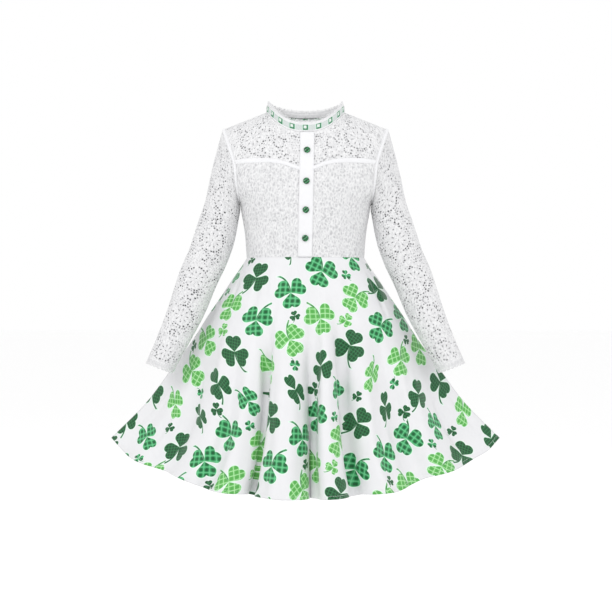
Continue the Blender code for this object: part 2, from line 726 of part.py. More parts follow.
def make_zip(tape_cloth, metal, neck_band):
    """The centre-back zip: its tape inside the seam, and the slider and its pull on the
    neckband, where the closed zip ends."""
    inside = -((LACE_WALL + TRIM_WALL) / 2 + LINING_WALL + 2 * LAYER_GAP + CURVE_ALLOWANCE)
    heights = bodice_surface(np.zeros(1), bodice_rows(), True)[::-1, 2]
    across, z = np.meshgrid(np.linspace(-1, 1, 3) * ZIP_TAPE_HALF_WIDTH, heights, indexing="ij")
    upper, upper_normals = bodice_strip(across, z, True, inside)
    share = np.linspace(0, ZIP_BELOW_WAIST, 4)[1:]
    columns = np.arcsin(across[:, 0] / TORSO[0].half_width) * 2 / math.pi
    lower, lower_normals = skirt_grid(columns, share, True, inside - SKIRT_WALL / 2)
    lower[..., 0] = across[:, :1]
    points = np.concatenate([upper, lower], axis=1)
    normals = np.concatenate([upper_normals, lower_normals], axis=1)
    wall("zip_tape", points, normals, TRIM_WALL, tape_cloth)

    seat = neck_band[0, 1] * np.array([0, 1, 1]) + np.array([0, TRIM_WALL / 2 + LAYER_GAP, 0])
    width, thick, long = ZIP_SLIDER_SIZE
    pivot = Vector(seat) + Vector((0, ZIP_PIVOT_OUT, ZIP_PIVOT_UP))
    slider = box("zip_slider", Vector(seat) + Vector((0, thick / 2, 0)), (width, thick, long), metal)
    ear_wall = (width - ZIP_EYE_WIDTH) / 2 - LAYER_GAP
    ear_rise = ZIP_PIVOT_OUT - thick + 2 * ZIP_PIN_RADIUS
    for side in (-1, 1):
        middle = Vector((side * (width - ear_wall) / 2, seat[1] + thick + ear_rise / 2, pivot.z))
        ear = box(f"ear_{side}", middle, (ear_wall, ear_rise + 2 * ZIP_EAR_SINK, 4 * ZIP_PIN_RADIUS), metal)
        join(slider, ear)
    join(slider, rod("pin", pivot, ZIP_PIN_RADIUS, width - ear_wall, 12, metal))

    pull = rod("zip_pull", Vector((0, 0, 0)), ZIP_EYE_RADIUS, ZIP_EYE_WIDTH, 20, metal)
    plate = box("plate", Vector((0, 0, -ZIP_PULL_LENGTH / 2)), (ZIP_PULL_WIDTH, ZIP_PULL_WALL, 1), metal)
    taper_plate(plate)
    join(pull, plate)
    cut(pull, rod("eye_cutter", Vector((0, 0, 0)), ZIP_EYE_BORE, 4 * ZIP_EYE_WIDTH, 20, metal))
    hinge = bpy.data.objects.new("zip_pull_hinge", None)
    hinge.location = pivot
    hinge.rotation_euler = (ZIP_PULL_LEAN, 0, 0)
    bpy.context.scene.collection.objects.link(hinge)
    for piece in (pull, bpy.data.objects["plate"], bpy.data.objects["eye_cutter"]):
        piece.parent = hinge


def taper_plate(plate):
    """The pull's plate: narrow where it leaves the eye and wider at its rounded end."""
    shape = bmesh.new()
    bmesh.ops.create_cone(
        shape, cap_ends=True, segments=16, radius1=ZIP_PULL_WIDTH / 2, radius2=ZIP_PULL_WIDTH / 2,
        depth=ZIP_PULL_WALL, matrix=Matrix.Rotation(math.pi / 2, 4, "X"),
    )
    for corner in shape.verts:
        if corner.co.z > 0.1 * ZIP_PIN_RADIUS:
            corner.co.z *= 0.2
            corner.co.x *= 0.8 * ZIP_EYE_WIDTH / ZIP_PULL_WIDTH
        else:
            corner.co.z -= ZIP_PULL_LENGTH - ZIP_PULL_WIDTH / 2
    shape.to_mesh(plate.data)
    shape.free()


def box(name, middle, size, material):
    """A plain block."""
    shape = bmesh.new()
    bmesh.ops.create_cube(shape, size=1.0, matrix=Matrix.Translation(middle) @ Matrix.Diagonal((*size, 1)))
    return from_bmesh(name, shape, material)


def rod(name, middle, radius, length, sides, material):
    """A round rod along X."""
    shape = bmesh.new()
    place = Matrix.Translation(middle) @ Matrix.Rotation(math.pi / 2, 4, "Y")
    bmesh.ops.create_cone(
        shape, cap_ends=True, segments=sides, radius1=radius, radius2=radius, depth=length, matrix=place
    )
    return from_bmesh(name, shape, material)


def from_bmesh(name, shape, material):
    """An object from a finished bmesh."""
    mesh = bpy.data.meshes.new(name)
    shape.to_mesh(mesh)
    shape.free()
    mesh.materials.append(material)
    made = bpy.data.objects.new(name, mesh)
    bpy.context.scene.collection.objects.link(made)
    return made


def boolean(target, helper, operation):
    """Adds a Boolean with a hidden helper."""
    helper.hide_render = True
    helper.display_type = "WIRE"
    step = target.modifiers.new(helper.name, "BOOLEAN")
    step.operation = operation
    step.object = helper


def join(target, helper):
    """Makes the helper part of the target."""
    boolean(target, helper, "UNION")


def cut(target, helper):
    """Takes the helper's space out of the target."""
    boolean(target, helper, "DIFFERENCE")


def main():
    """Clears the scene and makes every piece of the dress."""
    clear_scene()
    lace = finish("white lace", (0.86, 0.86, 0.87), 0.85)
    sleeve_lace = finish("white sleeve lace", (0.86, 0.86, 0.87), 0.85)
    lining = finish("white lining satin", (0.90, 0.90, 0.91), 0.55)
    cotton = finish("white cotton", (0.88, 0.88, 0.90), 0.75)
    ribbon = finish("green figured ribbon", (0.62, 0.78, 0.68), 0.60)
    frill_cloth = finish("white picot", (0.88, 0.88, 0.89), 0.80)
    print_cloth = finish("clover printed poplin", (0.55, 0.72, 0.56), 0.80)
    green = finish("dark green button", (0.01, 0.11, 0.05), 0.25)
    tape = finish("white zip tape", (0.84, 0.84, 0.85), 0.80)
    metal = finish("white lacquered metal", (0.80, 0.80, 0.81), 0.35, 0.6)
    make_bodice(lace, lining)
    make_front_trims(cotton, green)
    neck_band = make_neck(ribbon, frill_cloth)
    make_sleeves(sleeve_lace, cotton)
    make_skirt(print_cloth)
    make_zip(tape, metal, neck_band)


main()
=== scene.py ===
"""Girl's lace dress with a printed flared skirt: its lace, print, linings and trims.

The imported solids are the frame, and every cloth piece here stands for one of them on the
same form. Metres, +Z up, the front towards -Y. Left and right are the wearer's, so left is
+X. A piece is a grid of points over two parameters, one across the cloth and one along it.
"""

import logging
import math
from collections.abc import Callable, Iterable, Sequence
from dataclasses import dataclass, field
from enum import Enum
from functools import cached_property, partial, reduce
from typing import NamedTuple

import bpy
import numpy as np
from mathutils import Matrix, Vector


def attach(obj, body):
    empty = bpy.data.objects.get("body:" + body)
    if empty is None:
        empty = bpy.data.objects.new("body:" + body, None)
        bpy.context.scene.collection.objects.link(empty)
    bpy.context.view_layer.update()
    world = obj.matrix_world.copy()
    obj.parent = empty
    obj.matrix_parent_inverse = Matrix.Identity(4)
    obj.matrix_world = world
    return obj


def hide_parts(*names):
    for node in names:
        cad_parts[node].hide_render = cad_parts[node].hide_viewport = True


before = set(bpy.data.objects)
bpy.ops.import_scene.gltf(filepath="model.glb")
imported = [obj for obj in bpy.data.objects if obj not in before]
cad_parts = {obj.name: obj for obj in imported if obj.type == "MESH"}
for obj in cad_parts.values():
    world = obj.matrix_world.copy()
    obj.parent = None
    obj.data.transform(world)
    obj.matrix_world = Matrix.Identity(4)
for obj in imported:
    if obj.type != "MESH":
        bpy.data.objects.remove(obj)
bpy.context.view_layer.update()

Array = np.ndarray
Curve = Callable[[Array], Array]
Colour = tuple[float, float, float]
log = logging.getLogger("lace dress")

UP = np.array([0.0, 0.0, 1.0])
MIRROR = np.array([-1.0, 1.0, 1.0])
STEP = 1e-4
SEAM_GAP = 0.0004
SHEEN_ROUGHNESS = 0.45
STITCH_SHARE = 0.74
STITCH_RADIUS = 0.00022
STITCH_FLATNESS = 0.8
STITCH_LIFT = 0.4
SIDES = (("left", 1), ("right", -1))


class Hold(Enum):
    """How a sheet of cloth is held."""

    HUNG = "hung"
    STRETCHED = "stretched"
    GATHERED = "gathered"


class PrintInk(Enum):
    """The three finishes of the printed clovers, by the number that the print map holds."""

    DARK_PLAID = 0
    EMERALD_CHECK = 1
    LIGHT_PLAID = 2


# Curves and small array helpers


def unit(vectors: Array) -> Array:
    """The vectors at length one."""
    return vectors / np.linalg.norm(vectors, axis=-1, keepdims=True)


def between(start: Array, end: Array, share: Array) -> Array:
    """The value that lies a share of the way from start to end."""
    return start + (end - start) * share


def smooth(value: Array, low: float = 0.0, high: float = 1.0) -> Array:
    """An even S from 0 at low to 1 at high."""
    t = np.clip((value - low) / (high - low), 0.0, 1.0)
    return t * t * (3 - 2 * t)


def scatter(i: Array, j: Array, which: int) -> Array:
    """A fixed number from 0 to 1 for each cell of a grid, the same in every run.

    Args:
        i: cell numbers across.
        j: cell numbers along.
        which: picks one of several unlike sets of numbers.

    Returns:
        The fraction that is left of a large sine of the two numbers.
    """
    wave = np.sin(i * 127.1 + j * 311.7 + which * 74.7) * 43758.5453
    return wave - np.floor(wave)


def smooth_curve(stations: Sequence[float], values: Sequence[float]) -> Curve:
    """A curve through the stations with no overshoot.

    Between two stations it is the cubic that has their values and tangents. A tangent is
    the weighted harmonic mean of the slopes at its two sides, and level where they turn.

    Args:
        stations: where the values are known, in rising or falling order.
        values: the values there.

    Returns:
        The curve as a function of an array, held level past both ends.
    """
    x = np.asarray(stations, float)
    y = np.asarray(values, float)
    if x[0] > x[-1]:
        x, y = x[::-1], y[::-1]
    gap = np.diff(x)
    slope = np.diff(y) / gap
    before, after = slope[:-1], slope[1:]
    rising = before * after > 0
    heavy = (gap[:-1] + 2 * gap[1:], 2 * gap[:-1] + gap[1:])
    safe = (np.where(rising, before, 1.0), np.where(rising, after, 1.0))
    mean = (heavy[0] + heavy[1]) / (heavy[0] / safe[0] + heavy[1] / safe[1])
    tangent = np.concatenate([slope[:1], np.where(rising, mean, 0.0), slope[-1:]])

    def curve(at: Array) -> Array:
        """The curve's value at each place.

        Args:
            at: places along the stations.

        Returns:
            The values.
        """
        at = np.clip(np.asarray(at, float), x[0], x[-1])
        index = np.clip(np.searchsorted(x, at) - 1, 0, len(gap) - 1)
        width = gap[index]
        t = (at - x[index]) / width
        start = (1 + 2 * t) * (1 - t) ** 2 * y[index] + t * (1 - t) ** 2 * width * tangent[index]
        end = t * t * (3 - 2 * t) * y[index + 1] - t * t * (1 - t) * width * tangent[index + 1]
        return start + end

    return curve


def table(kind: type, *rows: tuple) -> tuple:
    """Rows of values as named tuples of one kind."""
    return tuple(kind(*row) for row in rows)


def table_curve(rows: Sequence[NamedTuple], along: str, column: str) -> Curve:
    """A smooth curve of one named column of a table against another."""
    return smooth_curve([getattr(r, along) for r in rows], [getattr(r, column) for r in rows])


def lengths_along(points: Array, axis: int) -> Array:
    """The distance walked over a grid of points from its first line, along one axis."""
    steps = np.linalg.norm(np.diff(points, axis=axis), axis=-1)
    start = np.zeros_like(np.take(steps, [0], axis=axis))
    return np.concatenate([start, np.cumsum(steps, axis=axis)], axis=axis)


def surface_steps(
    surface: Callable[[Array, Array], Array], across: Array, along: Array, last: float
) -> tuple[Array, Array]:
    """How a surface goes on across and along it.

    Args:
        surface: gives points for places across and along.
        across: places from -1 to 1.
        along: places from 0 to last.
        last: the last place along.

    Returns:
        The steps across and the steps along.
    """
    sideways = surface(np.minimum(across + STEP, 1), along)
    sideways -= surface(np.maximum(across - STEP, -1), along)
    onwards = surface(across, np.minimum(along + STEP, last))
    onwards -= surface(across, np.maximum(along - STEP, 0))
    return sideways, onwards


def walked_map(points: Array) -> Array:
    """A grid's place in the flat cloth: the distances walked across it and along it."""
    return np.stack([lengths_along(points, 0), lengths_along(points, 1)], axis=-1)


def read_off(values: Array, walked: Array, at: Array) -> Array:
    """Points or directions along a line, at the distances asked for."""
    return np.stack([np.interp(at, walked, values[:, k]) for k in range(3)], axis=-1)


def mirrored(side: int, *grids: Array) -> tuple[Array, ...]:
    """The grids as they are for side 1, and carried over to the other side for side -1."""
    return tuple(grid * MIRROR if side < 0 else grid for grid in grids)


def tube_normals(points: Array) -> Array:
    """Outward normals of a tube whose last column lies on its first, from its neighbours.

    Args:
        points: the tube's points [column, row].

    Returns:
        The normals.
    """
    across = np.roll(points[:-1], -1, axis=0) - np.roll(points[:-1], 1, axis=0)
    across = np.concatenate([across, across[:1]])
    normals = unit(np.cross(across, np.gradient(points, axis=1)))
    outwards = np.sum(normals * (points - points.mean(axis=0, keepdims=True))) >= 0
    return normals if outwards else -normals


def cell_corners(grid: Array) -> Array:
    """The values at the four corners of each cell of a grid [column, row], in turn."""
    return np.stack([grid[:-1, :-1], grid[1:, :-1], grid[1:, 1:], grid[:-1, 1:]], axis=2)


def edge_ends(index: Array) -> list[tuple[Array, Array]]:
    """The two ends of each edge of a grid of numbers: the edges across, then those along."""
    return [(index[:-1].ravel(), index[1:].ravel()), (index[:, :-1].ravel(), index[:, 1:].ravel())]


def bell(value: Array, middle: float, width: float) -> Array:
    """A bell curve of height 1 about its middle."""
    return np.exp(-(((value - middle) / width) ** 2))


# Meshes


@dataclass
class Surface:
    """A surface before it becomes a mesh.

    Attributes:
        points: a place for each vertex.
        polygons: vertex numbers, one array for each number of corners.
        maps: a pair of values for each vertex or for each corner, under each map's name.
        weld: for each vertex the number of the one that it falls together with.
    """

    points: Array
    polygons: list[Array]
    maps: dict[str, Array] = field(default_factory=dict)
    weld: Array | None = None

    def corner_values(self, values: Array, corners: Array) -> Array:
        """The map's values at the corners, from values given by vertex or by corner."""
        return values[corners] if len(values) == len(self.points) else values


def drop_doubled_corners(polygons: list[Array], weld: Array) -> list[Array]:
    """Turns four-sided faces that lose a corner to the weld into triangles.

    Args:
        polygons: vertex numbers, one array for each number of corners.
        weld: for each vertex the number of the one that it falls together with.

    Returns:
        The same faces with no corner doubled.
    """
    kept = []
    for polygon in polygons:
        met = weld[polygon]
        doubled = met == np.roll(met, -1, axis=1)
        kept.append(polygon[~doubled.any(axis=1)])
        if polygon.shape[1] == 4:
            for corner in range(4):
                once = doubled[:, corner] & (doubled.sum(axis=1) == 1)
                kept.append(np.delete(polygon[once], corner, axis=1))
    return [polygon for polygon in kept if len(polygon)]


def new_piece(
    name: str,
    surface: Surface,
    materials: Sequence[bpy.types.Material],
    replaces: Sequence[str] = (),
) -> bpy.types.Object:
    """Makes a mesh object of a surface and hands it to the frame.

    Args:
        name: the piece's name.
        surface: its points, faces and maps.
        materials: its materials, the first of them on the faces made here.
        replaces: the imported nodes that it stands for.

    Returns:
        The finished object, at the origin.
    """
    weld = np.arange(len(surface.points)) if surface.weld is None else surface.weld
    polygons = drop_doubled_corners(surface.polygons, weld)
    corners = np.concatenate([polygon.ravel() for polygon in polygons])
    kept, numbers = np.unique(weld[corners], return_inverse=True)
    sizes = np.concatenate([np.full(len(polygon), polygon.shape[1]) for polygon in polygons])
    mesh = bpy.data.meshes.new(name)
    mesh.vertices.add(len(kept))
    mesh.vertices.foreach_set("co", surface.points[kept].astype(np.float32).ravel())
    mesh.loops.add(len(numbers))
    mesh.loops.foreach_set("vertex_index", numbers.astype(np.int32).ravel())
    mesh.polygons.add(len(sizes))
    starts = np.concatenate([[0], np.cumsum(sizes)[:-1]])
    mesh.polygons.foreach_set("loop_start", starts.astype(np.int32))
    for title, values in surface.maps.items():
        layer = mesh.uv_layers.new(name=title)
        at_corners = surface.corner_values(values, corners)
        layer.uv.foreach_set("vector", at_corners.astype(np.float32).ravel())
    mesh.update(calc_edges=True)
    mesh.validate()
    mesh.shade_smooth()
    for material in materials:
        mesh.materials.append(material)
    made = bpy.data.objects.new(name, mesh)
    bpy.context.scene.collection.objects.link(made)
    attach(made, "dress")
    if replaces:
        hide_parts(*replaces)
    log.info("%s: %d faces", name, len(mesh.polygons))
    return made


def thicken(piece: bpy.types.Object, wall: float, inside_slot: int = 0) -> None:
    """Gives a sheet its wall, laid inwards, with the inside faces on the given slot."""
    step = piece.modifiers.new("wall", "SOLIDIFY")
    step.thickness, step.offset, step.material_offset = wall, -1, inside_slot


def facing_outwards(points: Array, normals: Array) -> bool:
    """Whether faces taken in the grid's own order look the way the normals point."""
    across = points[1:, :-1] - points[:-1, :-1]
    along = points[:-1, 1:] - points[:-1, :-1]
    return float(np.sum(np.cross(across, along) * normals[:-1, :-1])) > 0


def grid_surface(
    points: Array, normals: Array, maps: dict[str, Array], around: bool = False, poles: bool = False
) -> Surface:
    """Four-sided faces over a grid of points [column, row].

    Args:
        points: the grid's points.
        normals: which way its faces look.
        maps: pairs of values over the same grid.
        around: the last column lies on the first, and they are joined.
        poles: the first and last rows are single points.

    Returns:
        The surface.
    """
    index = np.arange(points[..., 0].size).reshape(points.shape[:2])
    quads = cell_corners(index).reshape(-1, 4)
    if not facing_outwards(points, normals):
        quads = quads[:, ::-1]
    weld = index.copy()
    if around:
        weld[-1] = weld[0]
    if poles:
        weld[:, 0] = weld[0, 0]
        weld[:, -1] = weld[0, -1]
    flat_maps = {title: values.reshape(-1, 2) for title, values in maps.items()}
    return Surface(points.reshape(-1, 3), [quads], flat_maps, weld.ravel())


# The corners c0 to c3 and the crossings e0 to e3 that bound the thread in a cell, by which
# corners lie in thread: corner n adds 2 to the power n to the case's number.
CELL_CASES = {
    1: "c0 e0 e3",
    2: "e0 c1 e1",
    3: "c0 c1 e1 e3",
    4: "e1 c2 e2",
    5: "c0 e0 e1 c2 e2 e3",
    6: "e0 c1 c2 e2",
    7: "c0 c1 c2 e2 e3",
    8: "e2 c3 e3",
    9: "c0 e0 e2 c3",
    10: "e0 c1 e1 e2 c3 e3",
    11: "c0 c1 e1 e2 c3",
    12: "e3 e1 c2 c3",
    13: "c0 e0 e1 c2 c3",
    14: "e0 c1 c2 c3 e3",
    15: "c0 c1 c2 c3",
}


def cut_surface(
    points: Array, normals: Array, thread: Array, maps: dict[str, Array], around: bool = False
) -> Surface:
    """The part of a grid that lies in thread, with its gaps cut along smooth lines.

    Each cell's corners are in thread or in a gap. A line between the two crosses the cell's
    edges where the thread value, taken as even along the edge, is nought, and the face is
    the polygon of the corners in thread and those crossings.

    Args:
        points: the grid's points [column, row].
        normals: which way its faces look.
        thread: how far inside the thread each point lies, below nought in a gap.
        maps: pairs of values over the same grid.
        around: the last column lies on the first, and they are joined.

    Returns:
        The surface.
    """
    columns, rows = thread.shape
    count = columns * rows
    index = np.arange(count).reshape(columns, rows)
    values = {title: pair.reshape(-1, 2) for title, pair in maps.items()}
    layers = {"": points.reshape(-1, 3), **values}
    level = thread.ravel()
    crossings = {title: [layer] for title, layer in layers.items()}
    for first, second in edge_ends(index):
        low, high = level[first], level[second]
        parted = (low > 0) != (high > 0)
        share = np.where(parted, low / np.where(parted, low - high, 1.0), 0.0)
        share = np.clip(share, 0.04, 0.96)[:, None]
        for title, layer in layers.items():
            crossings[title].append(between(layer[first], layer[second], share))
    joined = {title: np.concatenate(parts) for title, parts in crossings.items()}
    across_edge = count + np.arange((columns - 1) * rows).reshape(columns - 1, rows)
    along_start = count + (columns - 1) * rows
    along_edge = along_start + np.arange(columns * (rows - 1)).reshape(columns, rows - 1)
    corner = {
        "c0": index[:-1, :-1], "c1": index[1:, :-1], "c2": index[1:, 1:], "c3": index[:-1, 1:],
        "e0": across_edge[:, :-1], "e1": along_edge[1:], "e2": across_edge[:, 1:], "e3": along_edge[:-1],
    }
    inside = [level[corner[f"c{n}"]] > 0 for n in range(4)]
    case = sum(flags.astype(int) << n for n, flags in enumerate(inside))
    turned = not facing_outwards(points, normals)
    by_size: dict[int, list[Array]] = {}
    for number, names in CELL_CASES.items():
        here = case == number
        if here.any():
            faces = np.stack([corner[name][here] for name in names.split()], axis=-1)
            by_size.setdefault(faces.shape[1], []).append(faces[:, ::-1] if turned else faces)
    weld = np.arange(len(joined[""]))
    if around:
        weld[index[-1]] = index[0]
        weld[along_edge[-1]] = along_edge[0]
    polygons = [np.concatenate(parts) for parts in by_size.values()]
    return Surface(joined.pop(""), polygons, joined, weld)


def hoop_surface(rings: Array, normals: Array, maps: dict[str, Array]) -> Surface:
    """A tube bent into a hoop. The last ring lies on the first, and each ring's last point
    on its first.

    Args:
        rings: points [place along, place round].
        normals: which way the faces look.
        maps: pairs of values over the same grid.

    Returns:
        The surface.
    """
    around = np.swapaxes(rings, 0, 1)
    turned = {title: np.swapaxes(values, 0, 1) for title, values in maps.items()}
    surface = grid_surface(around, np.swapaxes(normals, 0, 1), turned, around=True)
    weld = surface.weld.reshape(around.shape[:2])
    weld[:, -1] = weld[:, 0]
    surface.weld = weld.ravel()
    return surface


def repeat_shape(shape: Array, face_sets: Sequence[Array], places: Array, axes: Array) -> Surface:
    """Copies of one small closed shape, joined in one mesh.

    Each copy's point is its place plus the three axes times the shape point's three values.

    Args:
        shape: the small shape's points.
        face_sets: its faces, one array for each number of corners.
        places: where each copy goes.
        axes: three directions for each copy, with its size in them.

    Returns:
        The surface.
    """
    points = places[:, None] + np.einsum("nij,ki->nkj", axes, shape)
    offsets = np.arange(len(places))[:, None, None] * len(shape)
    polygons = [(faces[None] + offsets).reshape(-1, faces.shape[1]) for faces in face_sets]
    return Surface(points.reshape(-1, 3), polygons)


def rod_faces(rings: int, sides: int) -> list[Array]:
    """The faces of a rod of rings of points, with a flat end at each end."""
    index = np.arange(rings * sides).reshape(rings, sides)
    ends = np.stack([index[0], index[-1, ::-1]])
    return [cell_corners(np.hstack([index, index[:, :1]])).reshape(-1, 4), ends]


def stitch_shape(sides: int = 5) -> tuple[Array, list[Array]]:
    """A stitch: a rod of length 1 along the first axis and about 1 in radius, drawn in at
    its ends.

    Args:
        sides: how many sides it has.

    Returns:
        Its points and faces.
    """
    along = np.array([-0.5, -0.32, 0.0, 0.32, 0.5])[:, None]
    radius = np.array([0.4, 0.95, 1.05, 0.95, 0.4])[:, None]
    angle = -np.arange(sides) / sides * 2 * math.pi
    parts = np.broadcast_arrays(along, radius * np.cos(angle), radius * np.sin(angle))
    return np.stack(parts, axis=-1).reshape(-1, 3), rod_faces(len(along), sides)


def sew(
    name: str, path: Array, normals: Array, thread: bpy.types.Material, pitch: float = 0.0032
) -> bpy.types.Object:
    """A row of stitches laid along a path on the cloth.

    Args:
        name: the piece's name.
        path: points along the row.
        normals: directions off the cloth there.
        thread: the thread's material.
        pitch: the distance from one stitch to the next.

    Returns:
        The stitches as one object.
    """
    stitch_length, radius = STITCH_SHARE * pitch, STITCH_RADIUS
    walked = lengths_along(path, 0)
    at = np.arange(pitch / 2, walked[-1], pitch)
    place, ahead = read_off(path, walked, at), read_off(path, walked, at + STEP)
    off = unit(read_off(normals, walked, at))
    along = np.where(np.linalg.norm(ahead - place, axis=-1, keepdims=True) > 0, ahead - place, UP)
    along = unit(along - off * np.sum(along * off, axis=-1, keepdims=True))
    sideways = np.cross(along, off) * radius
    axes = np.stack([along * stitch_length, off * radius * STITCH_FLATNESS, sideways], axis=1)
    shape, faces = stitch_shape()
    surface = repeat_shape(shape, faces, place + off * radius * STITCH_LIFT, axes)
    return new_piece(name, surface, [thread])


def declare_sheet(
    points: Array,
) -> None:
    """Works out the cross products of a cloth piece's uncut grid cells, and keeps nothing of them.

    Args:
        points: its grid of points before any gap was cut.
    """
    sides = np.cross(points[1:, :-1] - points[:-1, :-1], points[:-1, 1:] - points[:-1, :-1])


def cloth_piece(
    name: str,
    points: Array,
    normals: Array,
    cloth: bpy.types.Material,
    wall: float = 0.0,
    maps: dict[str, Array] | None = None,
    around: bool = False,
) -> bpy.types.Object:
    """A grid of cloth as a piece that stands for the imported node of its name.

    Args:
        name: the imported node's name.
        points: its points [column, row].
        normals: directions off the cloth.
        cloth: its material.
        wall: how thick it is, or nought for a bare surface.
        maps: its maps, where they are more than the distances walked.
        around: the last column lies on the first.

    Returns:
        The piece.
    """
    surface = grid_surface(points, normals, maps or {"cloth": walked_map(points)}, around)
    piece = new_piece(f"{name}_cloth", surface, [cloth], [name])
    if wall:
        thicken(piece, wall)
    return piece


# Shader helpers and finishes


def screen(red: int, green: int, blue: int) -> Colour:
    """The linear colour of three 8-bit screen values.

    Args:
        red: from 0 to 255.
        green: from 0 to 255.
        blue: from 0 to 255.

    Returns:
        The colour.
    """

    def linear(value: int) -> float:
        """The linear share of one 8-bit value."""
        share = value / 255
        return share / 12.92 if share <= 0.04045 else ((share + 0.055) / 1.055) ** 2.4

    return linear(red), linear(green), linear(blue)


@dataclass(frozen=True, eq=False)
class Value:
    """A shader value, which sums and products can be written with."""

    nodes: "Nodes"
    socket: bpy.types.NodeSocket

    def __add__(self, other: object) -> "Value":
        """The sum of both."""
        return self.nodes.math("ADD", self, other)

    def __sub__(self, other: object) -> "Value":
        """This less the other."""
        return self.nodes.math("SUBTRACT", self, other)

    def __mul__(self, other: object) -> "Value":
        """The product of both."""
        return self.nodes.math("MULTIPLY", self, other)

    def __truediv__(self, other: object) -> "Value":
        """This divided by the other."""
        return self.nodes.math("DIVIDE", self, other)

    def __abs__(self) -> "Value":
        """The value without its sign."""
        return self.nodes.math("ABSOLUTE", self)


class Nodes:
    """Adds shader nodes to a tree and joins them in few words."""

    def __init__(self, tree: bpy.types.NodeTree) -> None:
        """Works on this tree."""
        self.tree = tree

    def fill(self, node: bpy.types.Node, inputs: dict[str | int, object]) -> None:
        """Links values to a node's inputs, or sets them to numbers and colours.

        Args:
            node: the node.
            inputs: values by the input's name or number.
        """
        for name, value in inputs.items():
            socket = node.inputs[name]
            if isinstance(value, Value):
                self.tree.links.new(value.socket, socket)
            else:
                socket.default_value = (*value, 1.0) if socket.type == "RGBA" else value

    def add(self, kind: str, inputs: dict[str, object] | None = None, **settings: object) -> bpy.types.Node:
        """A node of this kind with its settings and inputs.

        Args:
            kind: the node's kind, without its prefix.
            inputs: values by the input's name or number.
            settings: the node's own settings.

        Returns:
            The node.
        """
        node = self.tree.nodes.new(kind if kind.startswith("NodeGroup") else f"ShaderNode{kind}")
        for name, value in settings.items():
            setattr(node, name, value)
        self.fill(node, inputs or {})
        return node

    def out(self, node: bpy.types.Node, name: str | int = 0) -> Value:
        """What one output of a node gives."""
        return Value(self, node.outputs[name])

    def math(self, operation: str, *values: object) -> Value:
        """One arithmetic step."""
        return self.out(self.add("Math", dict(enumerate(values)), operation=operation))

    def chain(self, operation: str, *values: object) -> Value:
        """The same step over several values, such as the least of them."""
        return reduce(lambda made, value: self.math(operation, made, value), values)

    def mix(self, share: object, first: object, second: object) -> Value:
        """A colour that lies a share of the way from the first to the second."""
        return self.out(self.add("Mix", {0: share, 6: first, 7: second}, data_type="RGBA"), 2)

    def fade(self, value: object, low: float, high: float, start: float = 0.0, end: float = 1.0) -> Value:
        """A value carried evenly from start at low to end at high, and held past both."""
        inputs = {"Value": value, "From Min": low, "From Max": high, "To Min": start, "To Max": end}
        return self.out(self.add("MapRange", inputs))

    def uv(self, name: str) -> Value:
        """The values of a piece's own map."""
        return self.out(self.add("UVMap", uv_map=name))

    def parts(self, vector: object) -> tuple[Value, Value]:
        """The first two parts of a vector."""
        node = self.add("SeparateXYZ", {"Vector": vector})
        return self.out(node), self.out(node, 1)

    def distance(self, first: object, second: object) -> Value:
        """How far two vectors lie apart."""
        return self.out(self.add("VectorMath", {0: first, 1: second}, operation="DISTANCE"), "Value")

    def object_place(self) -> Value:
        """The place on the object, in metres."""
        return self.out(self.add("TexCoord"), "Object")

    def noise(self, vector: object, scale: float, detail: float = 2.0) -> Value:
        """Soft noise from 0 to 1."""
        return self.out(self.add("TexNoise", {"Vector": vector, "Scale": scale, "Detail": detail}))

    def woven(self, weave: bpy.types.NodeTree, cloth: Value, threads: float) -> tuple[Value, Value]:
        """The weave's height and shade, at so many threads a metre."""
        node = self.add("Group", {"Cloth": cloth, "Threads": threads}, node_tree=weave)
        return self.out(node, "Height"), self.out(node, "Shade")

    def bump(self, height: Value, depth: float, strength: float) -> Value:
        """A normal bent by a height."""
        return self.out(self.add("Bump", {"Height": height, "Distance": depth, "Strength": strength}))


def new_group(name: str, inputs: dict[str, str], outputs: dict[str, str]) -> tuple[bpy.types.NodeTree, Nodes]:
    """An empty node group with named sockets.

    Args:
        name: the group's name.
        inputs: socket kinds by input name.
        outputs: socket kinds by output name.

    Returns:
        The group and the helper that fills it.
    """
    tree = bpy.data.node_groups.new(name, "ShaderNodeTree")
    for direction, sockets in (("INPUT", inputs), ("OUTPUT", outputs)):
        for title, kind in sockets.items():
            tree.interface.new_socket(title, in_out=direction, socket_type=f"NodeSocket{kind}")
    return tree, Nodes(tree)


def weave_group() -> bpy.types.NodeTree:
    """Plain weave: two crossed sines, uneven in strength, as a height and as a shade.

    Returns:
        The node group.
    """
    tree, nodes = new_group(
        "plain weave", {"Cloth": "Vector", "Threads": "Float"}, {"Height": "Float", "Shade": "Float"}
    )
    given = nodes.add("NodeGroupInput")
    cloth, rate = nodes.out(given, "Cloth"), nodes.out(given, "Threads") * (2 * math.pi)
    warp, weft = (nodes.math("SINE", way * rate) for way in nodes.parts(cloth))
    uneven = warp * weft * nodes.fade(nodes.noise(cloth, 420.0, 3.0), 0.2, 0.8, 0.5, 1.0)
    shade = nodes.fade(nodes.noise(cloth, 24.0), 0.3, 0.7)
    nodes.add("NodeGroupOutput", {"Height": nodes.fade(uneven, -1.0, 1.0), "Shade": shade})
    return tree


